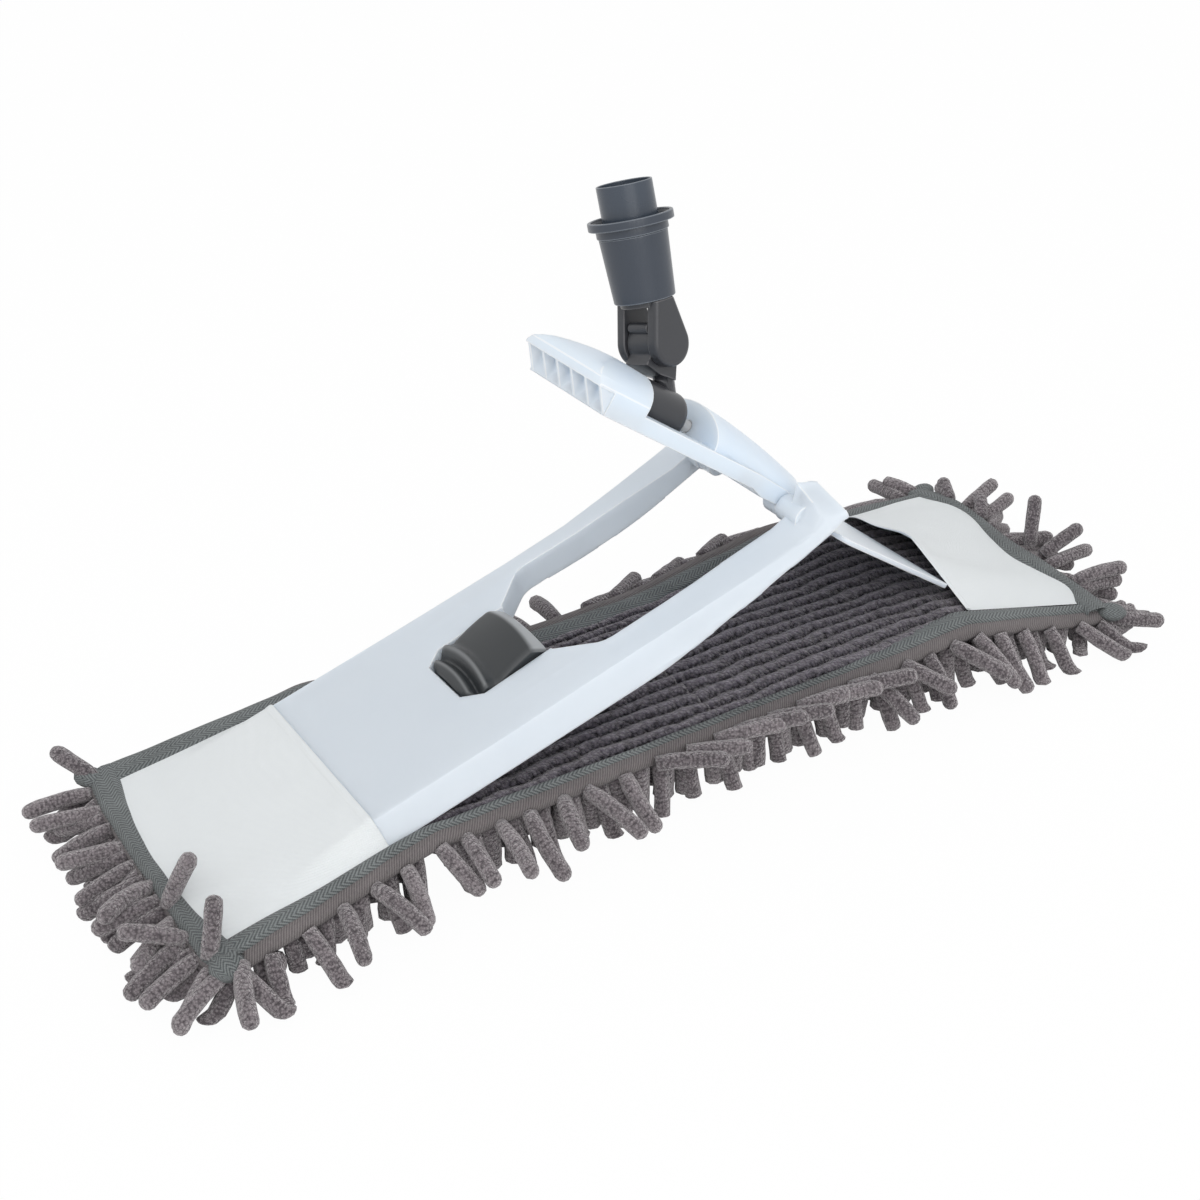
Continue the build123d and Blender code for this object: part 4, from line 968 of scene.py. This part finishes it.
for side, word, front in ((-1, "Near", fringeSet["nearDip"]), (1, "Far", fringeSet["farDip"])):
    node = "fringe_" + word.lower()
    strands = Strands()
    fringeSide(strands, side, leftEnd, padMiddle, front)
    bendLeft(strands.piece("fringe" + word + "Left", node, "fringe_left"))
    strands = Strands()
    fringeSide(strands, side, padMiddle, padEnd, front)
    bendRight(strands.piece("fringe" + word + "Right", node, "fringe_right"))
piece = endFringe("fringeLeftEnd", "fringe_left", 0.0, leftStanding, leftEdge, -1, padSet["leftHalf"],
                  fringeSet["leftDips"])
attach(piece, "left_wing_body")
piece = endFringe("fringeRightEnd", "fringe_right", midLength, rightStanding, rightEdge, 1,
                  padSet["rightHalf"], fringeSet["rightDips"])
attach(piece, "pad_right_body")
print("fringe made")

# pile under the pad, down to the floor
pileSet = {"pitch": 0.0112, "radius": 0.0043, "inset": 0.006, "stray": 0.0015, "lean": 0.12, "sunk": 0.002,
           "leftSunk": 0.0046, "least": 0.006, "upright": 0.98, "midGap": 0.004, "bendGap": 0.006,
           "endGap": 0.002}


def pilePiece(name, first, last, node):
    strands = Strands()
    lean = pileSet["lean"]
    for s in spread(first + pileSet["inset"], last - pileSet["inset"], pileSet["pitch"]):
        half = halfWidth(s) - pileSet["inset"]
        for y in spread(-half, half, pileSet["pitch"]):
            y += pileSet["stray"] * (dice.random() - 0.5)
            root = rimPlace(s + pileSet["stray"] * (dice.random() - 0.5), y, 0.0)
            root.z -= padSet["under"] - pileSet["sunk"]
            if s < 0:
                root.z = (leftFoot + leftAlong * s).z - pileSet["leftSunk"]
            length = (root.z - cadLow.z - strandSet["floor"]) / pileSet["upright"]
            aim = Vector((dice.uniform(-lean, lean), dice.uniform(-lean, lean), -1))
            strands.add(root, aim, max(pileSet["least"], length), pileSet["radius"], 0.0, 0.0)
    return strands.piece(name, node)


for name, body, node, first, last in (
    ("pileMiddle", "pad_middle", "pile_mid", pileSet["midGap"], midLength - pileSet["midGap"]),
    ("pileLeft", "left_wing_body", "pile_left", leftEnd + pileSet["endGap"], -pileSet["bendGap"]),
    ("pileRight", "pad_right_body", "pile_right", midLength + pileSet["bendGap"],
     padEnd - pileSet["endGap"]),
):
    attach(pilePiece(name, first, last, node), body)
bpy.data.meshes.remove(fingerMesh)
print("pile made")

# hard pieces: the CAD's own shape with rounded edges, each with the width of its rounding
roundSet = {
    "left_wing": 0.0004, "right_wing": 0.0004, "yoke": 0.0005, "socket_fork": 0.0005,
    "handle_socket": 0.0005, "step_ring": 0.0004, "collar_ring": 0.0004, "handle_tube": 0.0003,
}
# pale is the share of the painted highlight laid on the rounded faces
roundRules = {
    "merge": 0.000002, "sharp": 30, "crease": 55, "room": 1.5, "stray": 0.8, "pale": 0.5, "thin": 0.00001,
}


def cadCopy(node):
    bm = bmesh.new()
    bm.from_mesh(frame["nodes"][node].data)
    bmesh.ops.remove_doubles(bm, verts=bm.verts, dist=roundRules["merge"])
    return bm


def roomy(edge, width):
    # a bevel needs faces wider than itself on both sides
    least = min(2 * face.calc_area() for face in edge.link_faces)
    return least > roundRules["room"] * width * edge.calc_length()


def roundedCopy(node, width):
    bm = cadCopy(node)
    surface = BVHTree.FromBMesh(bm)
    pale = bm.loops.layers.float.new("pale")
    turn = math.radians(roundRules["sharp"])
    sharp = [edge for edge in bm.edges
             if edge.is_convex and edge.calc_face_angle(0.0) > turn and roomy(edge, width)]
    made = bmesh.ops.bevel(bm, geom=sharp, offset=width, offset_type="OFFSET", segments=2, profile=0.5,
                           affect="EDGES", loop_slide=False, clamp_overlap=False, material=-1)
    # the rounded faces get "pale": a painted highlight along the edges
    for face in made["faces"]:
        if face.is_valid:
            for loop in face.loops:
                loop[pale] = roundRules["pale"]
    # corners pushed away from the CAD's surface go back to it
    for vertex in bm.verts:
        nearest, normal, index, distance = surface.find_nearest(vertex.co)
        if distance > roundRules["stray"] * width:
            vertex.co = nearest
    bmesh.ops.triangulate(bm, faces=bm.faces)
    bmesh.ops.dissolve_degenerate(bm, dist=roundRules["thin"], edges=bm.edges)
    bmesh.ops.recalc_face_normals(bm, faces=bm.faces)
    piece = makePiece(node + "Rounded", bm, finishes[slotOf[node]])
    piece.data.set_sharp_from_angle(angle=math.radians(roundRules["crease"]))
    even = piece.modifiers.new("even", "WEIGHTED_NORMAL")
    even.keep_sharp = True
    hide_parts(node)
    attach(piece, bodyOf[node])


for node, width in roundSet.items():
    roundedCopy(node, width)

# foot pedal: a crowned pad with two bowed grip ridges at its tail and a bevelled nose
pedalSet = {"tail": 0.0394, "nose": 0.0770, "edge": 0.0006, "under": 0.0075, "least": 0.0008, "bow": 0.0026,
            "crown": 0.0026, "rounding": 0.0012, "grid": (80, 30), "crease": 50}
# half width, height and painted highlight along the pedal, on the grip ridges and the nose bevel
pedalOutline = ((0.0392, 0.0118), (0.0410, 0.0140), (0.0440, 0.0163), (0.0475, 0.0181), (0.0530, 0.0187),
                (0.0640, 0.0187), (0.0770, 0.0183))
pedalProfile = ((0.0392, 0.0092), (0.0414, 0.0120), (0.0432, 0.0112), (0.0448, 0.0094), (0.0466, 0.0122),
                (0.0484, 0.0144), (0.0502, 0.0134), (0.0522, 0.0126), (0.0560, 0.0139), (0.0620, 0.0158),
                (0.0700, 0.0175), (0.0716, 0.0172), (0.0770, 0.0136))
pedalHighlight = ((0.0392, 0.0), (0.0408, 0.0), (0.0416, 0.28), (0.0424, 0.0), (0.0470, 0.0), (0.0482, 0.34),
             (0.0493, 0.0), (0.0698, 0.0), (0.0714, 0.45), (0.0724, 0.75), (0.0770, 0.85))


def pedalPlace(share, c):
    # share from tail to nose, c from side to side, closer together at the sides
    c = math.copysign(1 - (1 - abs(c)) ** 1.35, c)
    u = pedalSet["tail"] + (pedalSet["nose"] - pedalSet["tail"]) * share
    bowed = u - pedalSet["bow"] * (1 - c * c) * math.sin(math.pi * share) ** 0.5
    crown = pedalSet["crown"] * c * c + pedalSet["rounding"] * max(0.0, (abs(c) - 0.86) / 0.14) ** 2
    height = through(pedalProfile, bowed) - crown * (0.65 + 0.35 * ease(4 * share))
    # painted highlight on the grip ridges and the nose bevel, weaker at the sides
    pale = max(0.0, through(pedalHighlight, bowed)) * (1.0 if abs(c) < 0.97 else 0.4)
    return overWing(u, c * through(pedalOutline, u), height), pale


def pedalPiece():
    longways, crossways = pedalSet["grid"]
    spots = [pedalPlace(i / longways, 2 * j / crossways - 1)
             for i in range(longways + 1) for j in range(crossways + 1)]
    bm = gridMesh(crossways + 1, [place for place, pale in spots])
    pale = fillLayer(bm, "pale", [pale for place, pale in spots])
    foot = wingFoot + leftUp * pedalSet["under"]

    def edged(vertex):
        vertex.co -= leftUp * pedalSet["edge"]
        vertex[pale] = 0.0

    def seated(vertex):
        vertex.co -= leftUp * max(pedalSet["least"], (vertex.co - foot).dot(leftUp))

    rim = [edge for edge in bm.edges if edge.is_boundary]
    for move in (edged, seated):
        rim = drawnOut(bm, rim, move)
    bmesh.ops.contextual_create(bm, geom=rim)
    faceOut(bm)
    piece = makePiece("pedalPad", bm, finishes["pedal_plastic"])
    piece.data.set_sharp_from_angle(angle=math.radians(pedalSet["crease"]))
    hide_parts("foot_pedal")
    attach(piece, "pedal_body")


# the pedal's spring: the CAD's coil with its doubles merged, riding with its body
springSet = {"seat": 0.0022, "pressed": 0.5}


def springPiece():
    slot = slotOf["pedal_spring"]
    piece = makePiece("pedalSpringCoil", cadCopy("pedal_spring"), finishes[slot])
    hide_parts("pedal_spring")
    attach(piece, bodyOf["pedal_spring"])
    seat = overWing(0, 0, springSet["seat"])
    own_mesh(piece)


pedalPiece()
springPiece()
print("hard pieces rounded")

# camera at the photograph's place, measured from the pad's left bend
cameraSet = {
    "fromBend": Vector((-0.22444, -0.56116, 0.41412)),
    "right": Vector((0.8492, -0.5268, -0.0361)),
    "up": Vector((0.2910, 0.4099, 0.8645)),
    "lens": 55.27,
    "sensor": 36.0,
}
cameraData = bpy.data.cameras.new("camera")
cameraData.lens = cameraSet["lens"]
cameraData.sensor_width = cameraSet["sensor"]
camera = bpy.data.objects.new("camera", cameraData)
scene.collection.objects.link(camera)
right = cameraSet["right"].normalized()
back = right.cross(cameraSet["up"]).normalized()
up = back.cross(right)
turn = Matrix((right, up, back)).transposed().to_4x4()
camera.matrix_world = Matrix.Translation(leftBend + cameraSet["fromBend"]) @ turn
scene.camera = camera

# soft studio light and a white floor that keeps a faint shadow
lightSet = {"world": 0.78, "key": 2.0, "fill": 8.0, "lampSize": 1.2}
floorSet = {"half": 6.0, "below": 0.0005, "tone": (0.9, 0.9, 0.9, 1), "glow": 0.97}
white = (1, 1, 1, 1)
world = bpy.data.worlds.new("studio")
scene.world = world
world.use_nodes = True
world.node_tree.nodes.clear()
sky = Wire(world.node_tree)
strength = lightSet["world"] + (1.0 - lightSet["world"]) * sky.seen()
backdrop = sky.node("ShaderNodeBackground", None, {"Color": white, "Strength": strength})
sky.node("ShaderNodeOutputWorld", None, {"Surface": backdrop})

for name, place, aim, power in (
    ("keyLight", (-0.7, -0.5, 1.5), (0, 0, 0.05), lightSet["key"]),
    ("fillLight", (-0.3, -1.2, 1.0), (0, 0, 0.08), lightSet["fill"]),
):
    lamp = bpy.data.lights.new(name, "AREA")
    lamp.energy = power
    lamp.size = lightSet["lampSize"]
    holder = bpy.data.objects.new(name, lamp)
    holder.location = place
    holder.rotation_mode = "QUATERNION"
    holder.rotation_quaternion = (Vector(aim) - Vector(place)).to_track_quat("-Z", "Y")
    scene.collection.objects.link(holder)

floorShape = bmesh.new()
bmesh.ops.create_grid(floorShape, x_segments=4, y_segments=4, size=floorSet["half"])
floorMesh = bpy.data.meshes.new("floor")
floorShape.to_mesh(floorMesh)
floorShape.free()
floor = bpy.data.objects.new("floor", floorMesh)
floor.location.z = cadLow.z - floorSet["below"]
scene.collection.objects.link(floor)
floorMaterial, graph = newMaterial("floorWhite")
pale = graph.node("ShaderNodeBsdfDiffuse", None, {"Color": floorSet["tone"]})
glow = graph.node("ShaderNodeEmission", None, {"Color": white, "Strength": 1.0})
share = floorSet["glow"] * graph.seen()
closeMaterial(graph, graph.node("ShaderNodeMixShader", None, {0: share, 1: pale, 2: glow}))
floorMesh.materials.append(floorMaterial)
